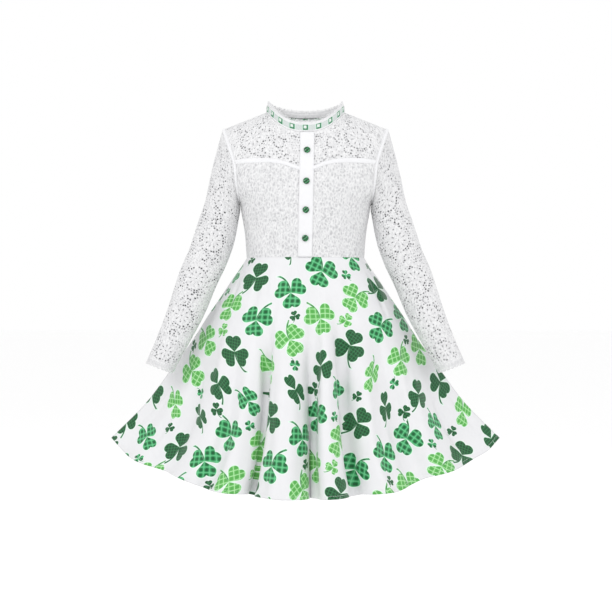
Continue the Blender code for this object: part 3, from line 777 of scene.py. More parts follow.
def clover_group(design: "CloverDesign") -> bpy.types.NodeTree:
    """One printed clover about the middle of the piece's clover map.

    The map's values are the place in leaf lengths from the clover's middle. The angle is
    folded onto one leaf, which is a wedge from the middle and a round lobe at each side of
    its axis. The stem is a stretch of a circle. What lies inside is ink, and a narrow rim
    round it is the pale edge of the print.

    Args:
        design: the clover's sizes and colourings.

    Returns:
        The node group.
    """
    tree, nodes = new_group("clover print", {}, {"Ink": "Color", "Cover": "Float", "Edge": "Float"})
    x, y = nodes.parts(nodes.uv("clover"))
    ink_number, leaf_length = nodes.parts(nodes.uv("clover_kind"))
    radius = nodes.math("SQRT", x * x + y * y)
    angle = nodes.math("ARCTAN2", y, x) - math.pi / 2
    folded = nodes.math("WRAP", angle, math.pi / 3, -math.pi / 3)
    side = abs(radius * nodes.math("SINE", folded))
    out = radius * nodes.math("COSINE", folded)
    on_leaf = nodes.out(nodes.add("CombineXYZ", {"X": side, "Y": out}))
    lobe = nodes.distance(on_leaf, (design.lobe_side, design.lobe_out, 0)) - design.lobe_radius
    slope = design.wedge_angle
    line = side * math.cos(slope) - out * math.sin(slope)
    wedge = nodes.math("MAXIMUM", line, out - design.wedge_end)
    bend = design.stem_bend
    from_ring = abs(nodes.distance(nodes.uv("clover"), (bend, -0.1, 0)) - bend)
    stem_width = nodes.fade(y, -design.stem_length, 0.0, 1.35 * design.stem_width, 0.85 * design.stem_width)
    stem = nodes.chain("MAXIMUM", from_ring - stem_width, y, y * -1.0 - design.stem_length, x - 0.8)
    shape = nodes.chain("MINIMUM", lobe, wedge, stem)
    across, along = x * leaf_length, y * leaf_length
    lean_cos, lean_sin = math.cos(design.plaid_lean), math.sin(design.plaid_lean)
    ways = (across * lean_cos - along * lean_sin, across * lean_sin + along * lean_cos)
    later = [nodes.math("GREATER_THAN", ink_number, number - 0.5) for number in range(1, len(design.inks))]
    pitch: object = design.plaid_pitches[0]
    for beyond, step in zip(later, np.diff(design.plaid_pitches)):
        pitch = beyond * float(step) + pitch
    rays = [way / pitch for way in ways]
    lines = [abs(nodes.math("WRAP", ray, 0.5, -0.5)) for ray in rays]
    bands = [abs(nodes.math("WRAP", ray + 0.5, 0.5, -0.5)) for ray in rays]
    thin = nodes.math("LESS_THAN", nodes.math("MINIMUM", *lines), design.line_half)
    in_bands = nodes.math("ADD", *(nodes.math("LESS_THAN", band, design.band_half) for band in bands)) * 0.5
    toned = [nodes.mix(in_bands, ink.ground, ink.band) for ink in design.inks]
    colours = [nodes.mix(thin * ink.line_strength, tone, ink.line) for ink, tone in zip(design.inks, toned)]
    chosen = colours[0]
    for beyond, colour in zip(later, colours[1:]):
        chosen = nodes.mix(beyond, chosen, colour)
    stemmed = nodes.math("GREATER_THAN", nodes.math("MINIMUM", lobe, wedge), 0.0)
    chosen = nodes.mix(stemmed * 0.55, chosen, design.stem_colour)
    cover = nodes.fade(shape, -0.012, 0.012, 1.0, 0.0)
    edge = nodes.fade(shape, design.rim * 0.4, design.rim, 1.0, 0.0)
    nodes.add("NodeGroupOutput", {"Ink": chosen, "Cover": cover, "Edge": edge})
    return tree


@dataclass(frozen=True)
class Finish:
    """What every finish shares: a title, a colour and one Principled shader."""

    title: str
    colour: Colour
    roughness: float = 0.8
    sheen: float = 0.25
    gloss: float = field(default=0.25, kw_only=True)

    def start(self) -> tuple[bpy.types.Material, Nodes, bpy.types.Node]:
        """A new material with the finish's constant values on its shader.

        Returns:
            The material, the helper for its nodes, and its shader.
        """
        material = bpy.data.materials.new(self.title)
        material.use_nodes = True
        shader = material.node_tree.nodes["Principled BSDF"]
        nodes = Nodes(material.node_tree)
        nodes.fill(shader, {
            "Base Color": self.colour, "Roughness": self.roughness, "Sheen Weight": self.sheen,
            "Sheen Roughness": SHEEN_ROUGHNESS, "Specular IOR Level": self.gloss,
        })
        return material, nodes, shader

    def dulled(self, share: float) -> Colour:
        """The finish's colour at a share of its strength."""
        return tuple(share * value for value in self.colour)


@dataclass(frozen=True)
class LaceFinish(Finish):
    """White corded lace, its cords drawn into small long pads, with painted shade: greyer in its low threads,
    between the pads and, where lining backs it, between its cords.
    """

    # Painted shade: the grey that low threads and the hollows between pads and cords are drawn towards.
    painted_shade_colour: Colour = (0.46, 0.46, 0.475)
    pads: float = 270.0
    drawn: float = 0.6
    cords: float = 185.0
    pad_shade: float = 0.36
    backed_pad_shade: float = 0.30
    cord_shade: float = 0.50

    def material(self, weave: bpy.types.NodeTree) -> bpy.types.Material:
        """The lace's material, which reads the cloth, relief and backed maps.

        Args:
            weave: the weave's node group.

        Returns:
            The material.
        """
        material, nodes, shader = self.start()
        cloth = nodes.uv("cloth")
        rise, shade = nodes.parts(nodes.uv("relief"))
        backed, _ = nodes.parts(nodes.uv("backed"))
        woven, tired = nodes.woven(weave, cloth, 900.0)
        stitched = nodes.noise(cloth, 900.0)
        stretched = nodes.out(nodes.add("Mapping", {"Vector": cloth, "Scale": (1.0, self.drawn, 1.0)}))
        pads = nodes.add("TexVoronoi", {"Vector": stretched, "Scale": self.pads})
        between_pads = nodes.fade(nodes.out(pads, "Distance"), 0.2, 0.75)
        swayed = nodes.out(nodes.add("VectorMath", {0: stretched, 1: nodes.noise(cloth, 120.0) * 0.004}))
        cells = nodes.add("TexVoronoi", {"Vector": swayed, "Scale": self.cords}, feature="DISTANCE_TO_EDGE")
        between_cords = nodes.fade(nodes.out(cells, "Distance"), 0.05, 0.34)
        # Painted shade: darker between the pads and, where lining backs the lace, between its cords, plus the
        # relief map's shade and the weave's random tone.
        pad_shade = between_pads * nodes.fade(backed, 0.0, 1.0, self.pad_shade, self.backed_pad_shade)
        painted_shade_share = pad_shade + between_cords * (backed * self.cord_shade) + tired * 0.05 + shade
        # Painted shade: the lower the thread stands in the relief map, the nearer its colour lies to the
        # shade colour.
        base = nodes.mix(nodes.fade(rise, 0.10, 0.62), self.painted_shade_colour, self.colour)
        nodes.fill(shader, {
            "Base Color": nodes.mix(painted_shade_share, base, self.painted_shade_colour),
            "Roughness": nodes.fade(stitched, 0.2, 0.8, 0.72, 0.92),
            "Normal": nodes.bump(woven + stitched * 1.4 - between_pads * 2.6, 0.00025, 0.6),
        })
        return material


@dataclass(frozen=True)
class WovenFinish(Finish):
    """Plain cloth: a weave, and a faint unevenness of colour."""

    threads: float = 1100.0
    relief: float = 0.00012
    depth: float = 0.4

    def material(self, weave: bpy.types.NodeTree) -> bpy.types.Material:
        """The cloth's material, which reads the cloth map.

        Args:
            weave: the weave's node group.

        Returns:
            The material.
        """
        material, nodes, shader = self.start()
        woven, shade = nodes.woven(weave, nodes.uv("cloth"), self.threads)
        nodes.fill(shader, {
            "Base Color": nodes.mix(shade * 0.5, self.colour, self.dulled(0.93)),
            "Roughness": nodes.fade(shade, 0.0, 1.0, self.roughness - 0.05, self.roughness + 0.05),
            "Normal": nodes.bump(woven, self.relief, self.depth),
        })
        return material


@dataclass(frozen=True)
class PlainFinish(Finish):
    """Thread, lacquer and the like, with a faint unevenness of its own."""

    grain: float = 600.0
    metallic: float = 0.0
    mottle: float = 0.14

    def material(self) -> bpy.types.Material:
        """The material, which reads the place on the object.

        Returns:
            The material.
        """
        material, nodes, shader = self.start()
        mottle = nodes.noise(nodes.object_place(), self.grain)
        dull = self.dulled(1 - self.mottle)
        nodes.fill(shader, {
            "Metallic": self.metallic,
            "Base Color": nodes.mix(nodes.fade(mottle, 0.35, 0.75), self.colour, dull),
            "Roughness": nodes.fade(mottle, 0.3, 0.7, self.roughness - 0.06, self.roughness + 0.06),
            "Normal": nodes.bump(mottle, 0.0001, 0.3),
        })
        return material


class Ink(NamedTuple):
    """A printed colouring: its ground, its broad bands, its thin lines and how far they show."""

    ground: Colour
    band: Colour
    line: Colour
    line_strength: float


@dataclass(frozen=True)
class CloverDesign:
    """The printed clover, in leaf lengths, and its three colourings."""

    lobe_side: float = 0.250
    lobe_out: float = 0.655
    lobe_radius: float = 0.325
    wedge_angle: float = math.radians(48.5)
    wedge_end: float = 0.45
    stem_bend: float = 1.3
    stem_length: float = 1.22
    stem_width: float = 0.042
    rim: float = 0.05
    plaid_lean: float = math.radians(12.0)
    plaid_pitches: tuple[float, ...] = (0.0058, 0.0106, 0.0096)
    line_half: float = 0.085
    band_half: float = 0.24
    stem_colour: Colour = screen(28, 96, 52)
    inks: tuple[Ink, ...] = (
        Ink(screen(20, 88, 47), screen(11, 66, 34), screen(56, 132, 78), 0.5),
        Ink(screen(52, 158, 94), screen(8, 86, 43), screen(112, 198, 142), 0.6),
        Ink(screen(102, 180, 92), screen(80, 160, 72), screen(166, 218, 158), 0.85),
    )


@dataclass(frozen=True)
class PrintFinish(Finish):
    """White poplin printed with clovers; on the reverse the print only shows through."""

    show: float = 1.0
    rim_colour: Colour = screen(214, 240, 222)

    def material(self, weave: bpy.types.NodeTree, clover: bpy.types.NodeTree) -> bpy.types.Material:
        """The printed cloth's material, which reads the cloth and clover maps.

        Args:
            weave: the weave's node group.
            clover: the clover's node group.

        Returns:
            The material.
        """
        material, nodes, shader = self.start()
        woven, shade = nodes.woven(weave, nodes.uv("cloth"), 1300.0)
        printed = nodes.add("Group", node_tree=clover)
        ground = nodes.mix(shade * 0.5, self.colour, self.dulled(0.95))
        rimmed = nodes.mix(nodes.out(printed, "Edge") * self.show, ground, self.rim_colour)
        inked = nodes.mix(nodes.out(printed, "Cover") * self.show, rimmed, nodes.out(printed, "Ink"))
        nodes.fill(shader, {"Base Color": inked, "Normal": nodes.bump(woven, 0.0001, 0.35)})
        return material


@dataclass(frozen=True)
class RibbonFinish(Finish):
    """Greyish ribbon with a row of small green frames, each with a mint halo."""

    pitch: float = 0.0256
    frame_half: float = 0.0050
    ground_half: float = 0.0052
    frame_line: float = 0.0015
    halo: float = 0.0022
    frame_colour: Colour = screen(44, 120, 78)
    inner_colour: Colour = (0.66, 0.72, 0.68)
    edge_colour: Colour = (0.76, 0.76, 0.77)
    halo_colour: Colour = screen(190, 226, 206)
    fleck_colour: Colour = screen(150, 160, 158)

    def material(self, weave: bpy.types.NodeTree) -> bpy.types.Material:
        """The ribbon's material, which reads the cloth map.

        Args:
            weave: the weave's node group.

        Returns:
            The material.
        """
        material, nodes, shader = self.start()
        cloth = nodes.uv("cloth")
        woven, _ = nodes.woven(weave, cloth, 1000.0)
        across, up = nodes.parts(cloth)
        local = nodes.math("WRAP", across, self.pitch / 2, -self.pitch / 2)
        reach = nodes.math("MAXIMUM", abs(local), abs(up))
        set_off = [abs(way - 0.5 * self.frame_line) for way in (local, up)]
        ragged = nodes.noise(cloth, 700.0, 1.0) * self.frame_line
        inner = nodes.math("MAXIMUM", *set_off) + ragged
        within = nodes.math("LESS_THAN", inner, self.frame_half - self.frame_line)
        framed = nodes.math("LESS_THAN", reach, self.frame_half) - within
        flecks = nodes.fade(nodes.noise(cloth, 1100.0), 0.45, 0.62, 0.0, 0.6)
        base = nodes.mix(flecks, self.colour, self.fleck_colour)
        near = nodes.fade(reach, self.frame_half, self.frame_half + self.halo, 0.8, 0.0)
        base = nodes.mix(near, base, self.halo_colour)
        shown = nodes.math("MAXIMUM", framed, 0.0) * 0.95
        figured = nodes.mix(shown, nodes.mix(within, base, self.inner_colour), self.frame_colour)
        selvedge = nodes.fade(abs(up), self.ground_half - 0.0003, self.ground_half + 0.0003)
        nodes.fill(shader, {
            "Base Color": nodes.mix(selvedge, figured, self.edge_colour),
            "Normal": nodes.bump(woven + shown * 2.0, 0.0002, 0.5),
        })
        return material


@dataclass(frozen=True)
class ButtonFinish(Finish):
    """Polished dark green with lighter slanting streaks."""

    streak: Colour = screen(64, 150, 96)
    deep: Colour = screen(8, 44, 24)

    def material(self) -> bpy.types.Material:
        """The button's material, which reads the place on the object.

        Returns:
            The material.
        """
        material, nodes, shader = self.start()
        slant = {"Vector": nodes.object_place(), "Rotation": (0, math.radians(38), 0)}
        place = nodes.out(nodes.add("Mapping", slant))
        streaks = {"Vector": place, "Scale": 62.0, "Distortion": 3.5, "Detail": 2.0}
        wave = nodes.add("TexWave", streaks, bands_direction="Z")
        cloudy = nodes.noise(place, 260.0, 3.0)
        base = nodes.mix(nodes.fade(cloudy, 0.35, 0.65), self.deep, self.colour)
        nodes.fill(shader, {
            "Coat Weight": 0.6, "Coat Roughness": 0.12,
            "Base Color": nodes.mix(nodes.fade(nodes.out(wave, "Fac"), 0.72, 0.95), base, self.streak),
            "Roughness": nodes.fade(cloudy, 0.3, 0.7, 0.18, 0.3),
        })
        return material


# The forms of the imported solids


class TorsoSection(NamedTuple):
    """A level cut through the bodice: half of its width, and its depth before and behind."""

    height: float
    half_width: float
    front: float
    back: float


class EdgePoint(NamedTuple):
    """A point of a level or slanting edge: its distance from the middle, and its height."""

    half_width: float
    height: float


class SleeveSection(NamedTuple):
    """A cut across the left sleeve: its edge points, its place and half its depth."""

    outer_x: float
    outer_z: float
    inner_x: float
    inner_z: float
    middle_y: float
    half_depth: float


class Flute(NamedTuple):
    """A fold of the skirt: its place and reach along the hem, how far it stands out (in, if
    negative), and the share of the skirt's length at which it begins."""

    hem_x: float
    reach: float
    stand: float
    begins: float


@dataclass(frozen=True)
class BodiceForm:
    """The worn bodice: ovals at each height, rolled over to the shoulder seams."""

    torso: tuple[TorsoSection, ...] = table(
        TorsoSection,
        (-0.282, 0.113, 0.08, 0.078), (-0.24, 0.116, 0.085, 0.0795), (-0.2, 0.1222, 0.09, 0.083),
        (-0.18, 0.1262, 0.092, 0.085), (-0.16, 0.14, 0.0925, 0.086), (-0.13, 0.156, 0.0895, 0.0855),
        (-0.098, 0.165, 0.0835, 0.0805), (-0.06, 0.17, 0.071, 0.069), (-0.033, 0.174, 0.062, 0.06),
        (0.03, 0.176, 0.053, 0.05),
    )
    lining_top: tuple[EdgePoint, ...] = table(
        EdgePoint,
        (0.0, -0.119), (0.012, -0.1157), (0.025, -0.111), (0.036, -0.1064), (0.056, -0.1018),
        (0.08, -0.1), (0.108, -0.1002), (0.1325, -0.101),
    )
    waist: float = -0.2820
    underarm: float = -0.1800
    lining_top_side: float = -0.1010
    lining_top_half_width: float = 0.1325
    neck_half_width: float = 0.0766
    neck_share: float = 7 / 12
    neck_side: float = -0.0020
    neck_front: float = -0.0450
    neck_back: float = -0.0140
    neckline_power: float = 2.5
    shoulder_half_width: float = 0.1545
    shoulder_rise: float = 0.0290
    shoulder_slope: float = 0.398
    shoulder_rounding: float = 0.015
    shoulder_roll: float = 0.050

    @cached_property
    def half_width_at(self) -> Curve:
        """Half of the bodice's width by height."""
        return table_curve(self.torso, "height", "half_width")

    @cached_property
    def front_at(self) -> Curve:
        """The bodice's depth in front by height."""
        return table_curve(self.torso, "height", "front")

    @cached_property
    def back_at(self) -> Curve:
        """The bodice's depth behind by height."""
        return table_curve(self.torso, "height", "back")

    @cached_property
    def lining_top_at(self) -> Curve:
        """The height of the lining's shaped top edge by distance from the middle."""
        return table_curve(self.lining_top, "half_width", "height")

    def shoulder_height(self, x: Array) -> Array:
        """The height of the shoulder seam, carried on over the neck."""
        return self.shoulder_rise - self.shoulder_slope * np.sqrt(x * x + self.shoulder_rounding**2)

    def y(self, x: Array, z: Array, behind: bool) -> Array:
        """Depth times a half oval over the width, rolled to nought at the shoulder seam.

        Args:
            x: distance from the middle.
            z: height.
            behind: on the back.

        Returns:
            The depth.
        """
        depth = self.back_at(z) if behind else -self.front_at(z)
        oval = np.sqrt(np.clip(1.0 - (x / self.half_width_at(z)) ** 2, 0.0, 1.0))
        below = np.clip(self.shoulder_height(x) - z, 0.0, self.shoulder_roll)
        return depth * oval * np.sqrt(1.0 - (1.0 - below / self.shoulder_roll) ** 2)

    def surface(self, column: Array, row: Array, behind: bool) -> Array:
        """Points of the bodice.

        Across, x follows the sine of the column. Between the waist and the underarm the
        height is even in the row, then a quarter wave leads to the lining's top edge and
        another to the neckline and shoulder seam.

        Args:
            column: from -1 to 1 across.
            row: 0 at the waist, 1 at the underarm, 2 at the lining's top, 3 at the neck.
            behind: on the back.

        Returns:
            The points.
        """
        column, row = np.broadcast_arrays(np.asarray(column, float), np.asarray(row, float))
        side = np.sin(column * math.pi / 2)
        low_z = between(self.waist, self.underarm, np.clip(row, 0, 1))
        low_x = self.half_width_at(low_z) * side
        chest_x = self.lining_top_half_width * side
        shaped = self.lining_top_at(np.abs(chest_x))
        chest_z = np.full_like(chest_x, self.lining_top_side) if behind else shaped
        across = np.abs(column)
        on_neck = np.sin(np.clip(across / self.neck_share, 0, 1) * math.pi / 2)
        past_neck = np.clip((across - self.neck_share) / (1 - self.neck_share), 0, 1)
        top_half = between(self.neck_half_width * on_neck, self.shoulder_half_width, past_neck)
        top_x = np.sign(column) * top_half
        lowest = self.neck_back if behind else self.neck_front
        rising = np.abs(top_x / self.neck_half_width) ** self.neckline_power
        curve = between(lowest, self.neck_side, rising)
        top_z = np.where(across < self.neck_share, curve, self.shoulder_height(top_x))
        to_chest = 1 - np.cos(np.clip(row - 1, 0, 1) * math.pi / 2)
        to_top = np.cos(np.clip(3 - row, 0, 1) * math.pi / 2)
        x = between(between(low_x, chest_x, to_chest), top_x, to_top)
        z = between(between(low_z, chest_z, to_chest), top_z, to_top)
        return np.stack([x, self.y(x, z, behind), z], axis=-1)

    def grid(
        self, columns: Array, rows: Array, behind: bool, offset: Array | float = 0.0
    ) -> tuple[Array, Array]:
        """Points moved out by offset, and outward normals, over the columns and rows.

        Args:
            columns: places across, from -1 to 1.
            rows: places up, from 0 to 3.
            behind: on the back.
            offset: how far out the points are moved.

        Returns:
            The points and the normals.
        """
        column, row = np.meshgrid(columns, rows, indexing="ij")
        across, upward = surface_steps(partial(self.surface, behind=behind), column, row, 3)
        normals = unit(np.cross(across, upward)) * (-1 if behind else 1)
        points = self.surface(column, row, behind) + normals * offset
        points[..., 1] += SEAM_GAP / 2 if behind else -SEAM_GAP / 2
        return points, normals

    def strip(self, x: Array, z: Array, behind: bool, offset: Array | float) -> tuple[Array, Array]:
        """A strip on the bodice from its own x and z, moved out by offset, with normals.

        Args:
            x: distance from the middle.
            z: height.
            behind: on the back.
            offset: how far out the points are moved.

        Returns:
            The points and the normals.
        """
        points = np.stack([x, self.y(x, z, behind), z], axis=-1)
        slope_x = (self.y(x + STEP, z, behind) - self.y(x - STEP, z, behind)) / (2 * STEP)
        slope_z = (self.y(x, z + STEP, behind) - self.y(x, z - STEP, behind)) / (2 * STEP)
        sign = 1 if behind else -1
        normals = unit(np.stack([-slope_x, np.ones_like(x), -slope_z], axis=-1)) * sign
        points[..., 1] += sign * SEAM_GAP / 2
        return points + normals * offset, normals

    def even_rows(self, count: int, behind: bool, last: float = 3.0) -> Array:
        """Row places that lie evenly far apart, as walked up the middle of one side."""
        fine = np.linspace(0, last, 400)
        walked = lengths_along(self.surface(np.full(400, 0.45), fine, behind), 0)
        return np.interp(np.linspace(0, walked[-1], count), walked, fine)


@dataclass(frozen=True)
class SleeveForm:
    """The left sleeve, set into the bodice's armhole. The right one is its mirror image."""

    sections: tuple[SleeveSection, ...] = table(
        SleeveSection,
        (0.193, -0.1725, 0.1272, -0.196, 0.0, 0.037), (0.2118, -0.2285, 0.1378, -0.253, -0.006, 0.0385),
        (0.2245, -0.269, 0.1533, -0.2975, -0.014, 0.037),
        (0.2393, -0.3035, 0.17, -0.3335, -0.022, 0.035),
        (0.2582, -0.3655, 0.193, -0.3905, -0.036, 0.032),
        (0.2742, -0.414, 0.2168, -0.4365, -0.048, 0.0285),
        (0.3018, -0.4825, 0.252, -0.5015, -0.062, 0.026),
    )
    leaves: tuple[float, float, float] = (1.0, 0.0, -0.35)
    bulge: float = 0.0018
    binding_half_width: float = 0.0034
    binding_half_depth: float = 0.0022
    solid_half_width: float = 0.0030
    cuff_depth: float = 0.0150
    armhole_rows: int = 92
    cap_rows: int = 84
    eased_rows: int = 14

    @cached_property
    def curves(self) -> dict[str, Curve]:
        """Each column of the table against the distance down the sleeve."""
        stations = self.stations
        names = SleeveSection._fields
        return {name: smooth_curve(stations, [getattr(s, name) for s in self.sections]) for name in names}

    @cached_property
    def stations(self) -> Array:
        """The distance of each section down the sleeve's middle line."""
        outer = np.array([(s.outer_x, s.middle_y, s.outer_z) for s in self.sections])
        inner = np.array([(s.inner_x, s.middle_y, s.inner_z) for s in self.sections])
        return lengths_along((outer + inner) / 2, 0)

    def ring(self, distance: float, turn: Array) -> Array:
        """An oval across the sleeve: the middle, less the half breadth times the cosine of
        the turn, plus the half depth times its sine. A quarter turn is the front.

        Args:
            distance: how far down the sleeve.
            turn: places round it, from 0 to 1.

        Returns:
            The points.
        """
        at = {name: float(curve(distance)) for name, curve in self.curves.items()}
        outer = np.array([at["outer_x"], 0.0, at["outer_z"]])
        inner = np.array([at["inner_x"], 0.0, at["inner_z"]])
        middle = (outer + inner) / 2 + np.array([0.0, at["middle_y"], 0.0])
        angle = turn[:, None] * 2 * math.pi
        forward = np.array([0.0, -at["half_depth"], 0.0])
        return middle - (outer - inner) / 2 * np.cos(angle) + forward * np.sin(angle)

    def armhole(self, bodice: BodiceForm) -> tuple[Array, Array, Array, Array, int]:
        """The left armhole from the underarm over the front and shoulder tip down the back.

        Args:
            bodice: the bodice that the sleeve is set into.

        Returns:
            Its points, the directions along it, off the cloth and out of its edge, and the
            number of points up to the shoulder tip.
        """
        rows = np.linspace(1, 3, self.armhole_rows)
        front, front_normals = bodice.grid(np.array([1.0]), rows, False)
        back, back_normals = bodice.grid(np.array([1.0]), rows[-2:0:-1], True)
        points = np.concatenate([front[0], back[0]])
        normals = np.concatenate([front_normals[0], back_normals[0]])
        along = unit(np.roll(points, -1, axis=0) - np.roll(points, 1, axis=0))
        along = unit(ring_average(along, 5))
        normals = ring_average(normals, 5)
        normals = unit(normals - along * np.sum(normals * along, axis=1, keepdims=True))
        return points, along, normals, unit(np.cross(along, normals)), len(rows)

    def binding(self, bodice: BodiceForm, sides: int) -> tuple[Array, Array]:
        """Rings round the armhole, an oval of the binding's half sizes at each point.

        Args:
            bodice: the bodice that the sleeve is set into.
            sides: points round each oval.

        Returns:
            The rings and the directions out of them.
        """
        points, _, normals, edge_out, _ = self.armhole(bodice)
        centre = points + edge_out * (self.solid_half_width + SEAM_GAP)
        angle = np.linspace(0, 2 * math.pi, sides + 1)
        off_cloth = normals[:, None] * np.cos(angle)[None, :, None]
        out_of_edge = edge_out[:, None] * np.sin(angle)[None, :, None]
        facing = off_cloth + out_of_edge
        oval = off_cloth * self.binding_half_depth + out_of_edge * self.binding_half_width
        rings = centre[:, None] + oval
        return np.concatenate([rings, rings[:1]]), np.concatenate([facing, facing[:1]])

    def first_ring(self, bodice: BodiceForm) -> tuple[Array, Array]:
        """The sleeve's edge against the binding, and its turns by distance round it.

        Args:
            bodice: the bodice that the sleeve is set into.

        Returns:
            The edge's points and their turns.
        """
        points, along, normals, edge_out, tip = self.armhole(bodice)
        leaves = np.array(self.leaves)
        centre = points + edge_out * (self.solid_half_width + SEAM_GAP)
        to_sleeve = unit(leaves - along * (along @ leaves)[:, None])
        off_cloth = np.sum(to_sleeve * normals, axis=1) / self.binding_half_depth
        out_of_edge = np.sum(to_sleeve * edge_out, axis=1) / self.binding_half_width
        first = centre + to_sleeve * (0.7 / np.hypot(off_cloth, out_of_edge))[:, None]
        place = lengths_along(np.vstack([first, first[:1]]), 0)
        half = place[tip - 1]
        turn = np.where(place < half, 0.5 * place / half, 0.5 + 0.5 * (place - half) / (place[-1] - half))
        return np.vstack([first, first[:1]]), turn

    def grid(self, bodice: BodiceForm, columns: int, rows: int) -> tuple[Array, Array]:
        """Points of the sleeve from the armhole to the cuff, its last column on its first.

        The cap leads in even steps from the armhole's ring to the sleeve's top oval, with
        half a wave of fullness, and the rest is the sleeve's ovals. The whole is then
        averaged down the sleeve, so that no crease is left where the two meet.

        Args:
            bodice: the bodice that the sleeve is set into.
            columns: points round the sleeve.
            rows: points down it below the cap.

        Returns:
            The points and their turns.
        """
        ring, ring_turn = self.first_ring(bodice)
        walked = lengths_along(ring, 0)
        even = np.linspace(0, walked[-1], columns + 1)
        first = read_off(ring, walked, even)
        turn = np.interp(even, walked, ring_turn)
        top = self.ring(0.0, turn)
        puff = unit(top - top.mean(axis=0))
        shares = np.linspace(0, 1, self.cap_rows, endpoint=False)
        cap = [between(first, top, s) + puff * self.bulge * math.sin(math.pi * s) for s in shares]
        end = self.stations[-1] - self.cuff_depth - SEAM_GAP
        tube = [self.ring(distance, turn) for distance in np.linspace(0, end, rows)]
        points = np.stack(cap + tube, axis=1)
        reach = self.eased_rows
        weights = np.hanning(2 * reach + 3)[1:-1]
        weights /= weights.sum()
        padded = np.pad(points, ((0, 0), (reach, reach), (0, 0)), mode="reflect", reflect_type="odd")
        averaged = sum(w * padded[:, k : k + points.shape[1]] for k, w in enumerate(weights))
        return averaged, turn


def ring_average(values: Array, reach: int) -> Array:
    """Each value of a closed row averaged with its neighbours up to reach away."""
    return sum(np.roll(values, shift, axis=0) for shift in range(-reach, reach + 1)) / (2 * reach + 1)


class Crease(NamedTuple):
    """A soft line in the cloth between two points of the front or back view, its width, its
    depth (a ridge, if negative), and whether it runs out at full depth, as at the hem."""

    from_x: float
    from_z: float
    to_x: float
    to_z: float
    width: float
    depth: float
    runs_out: bool = False


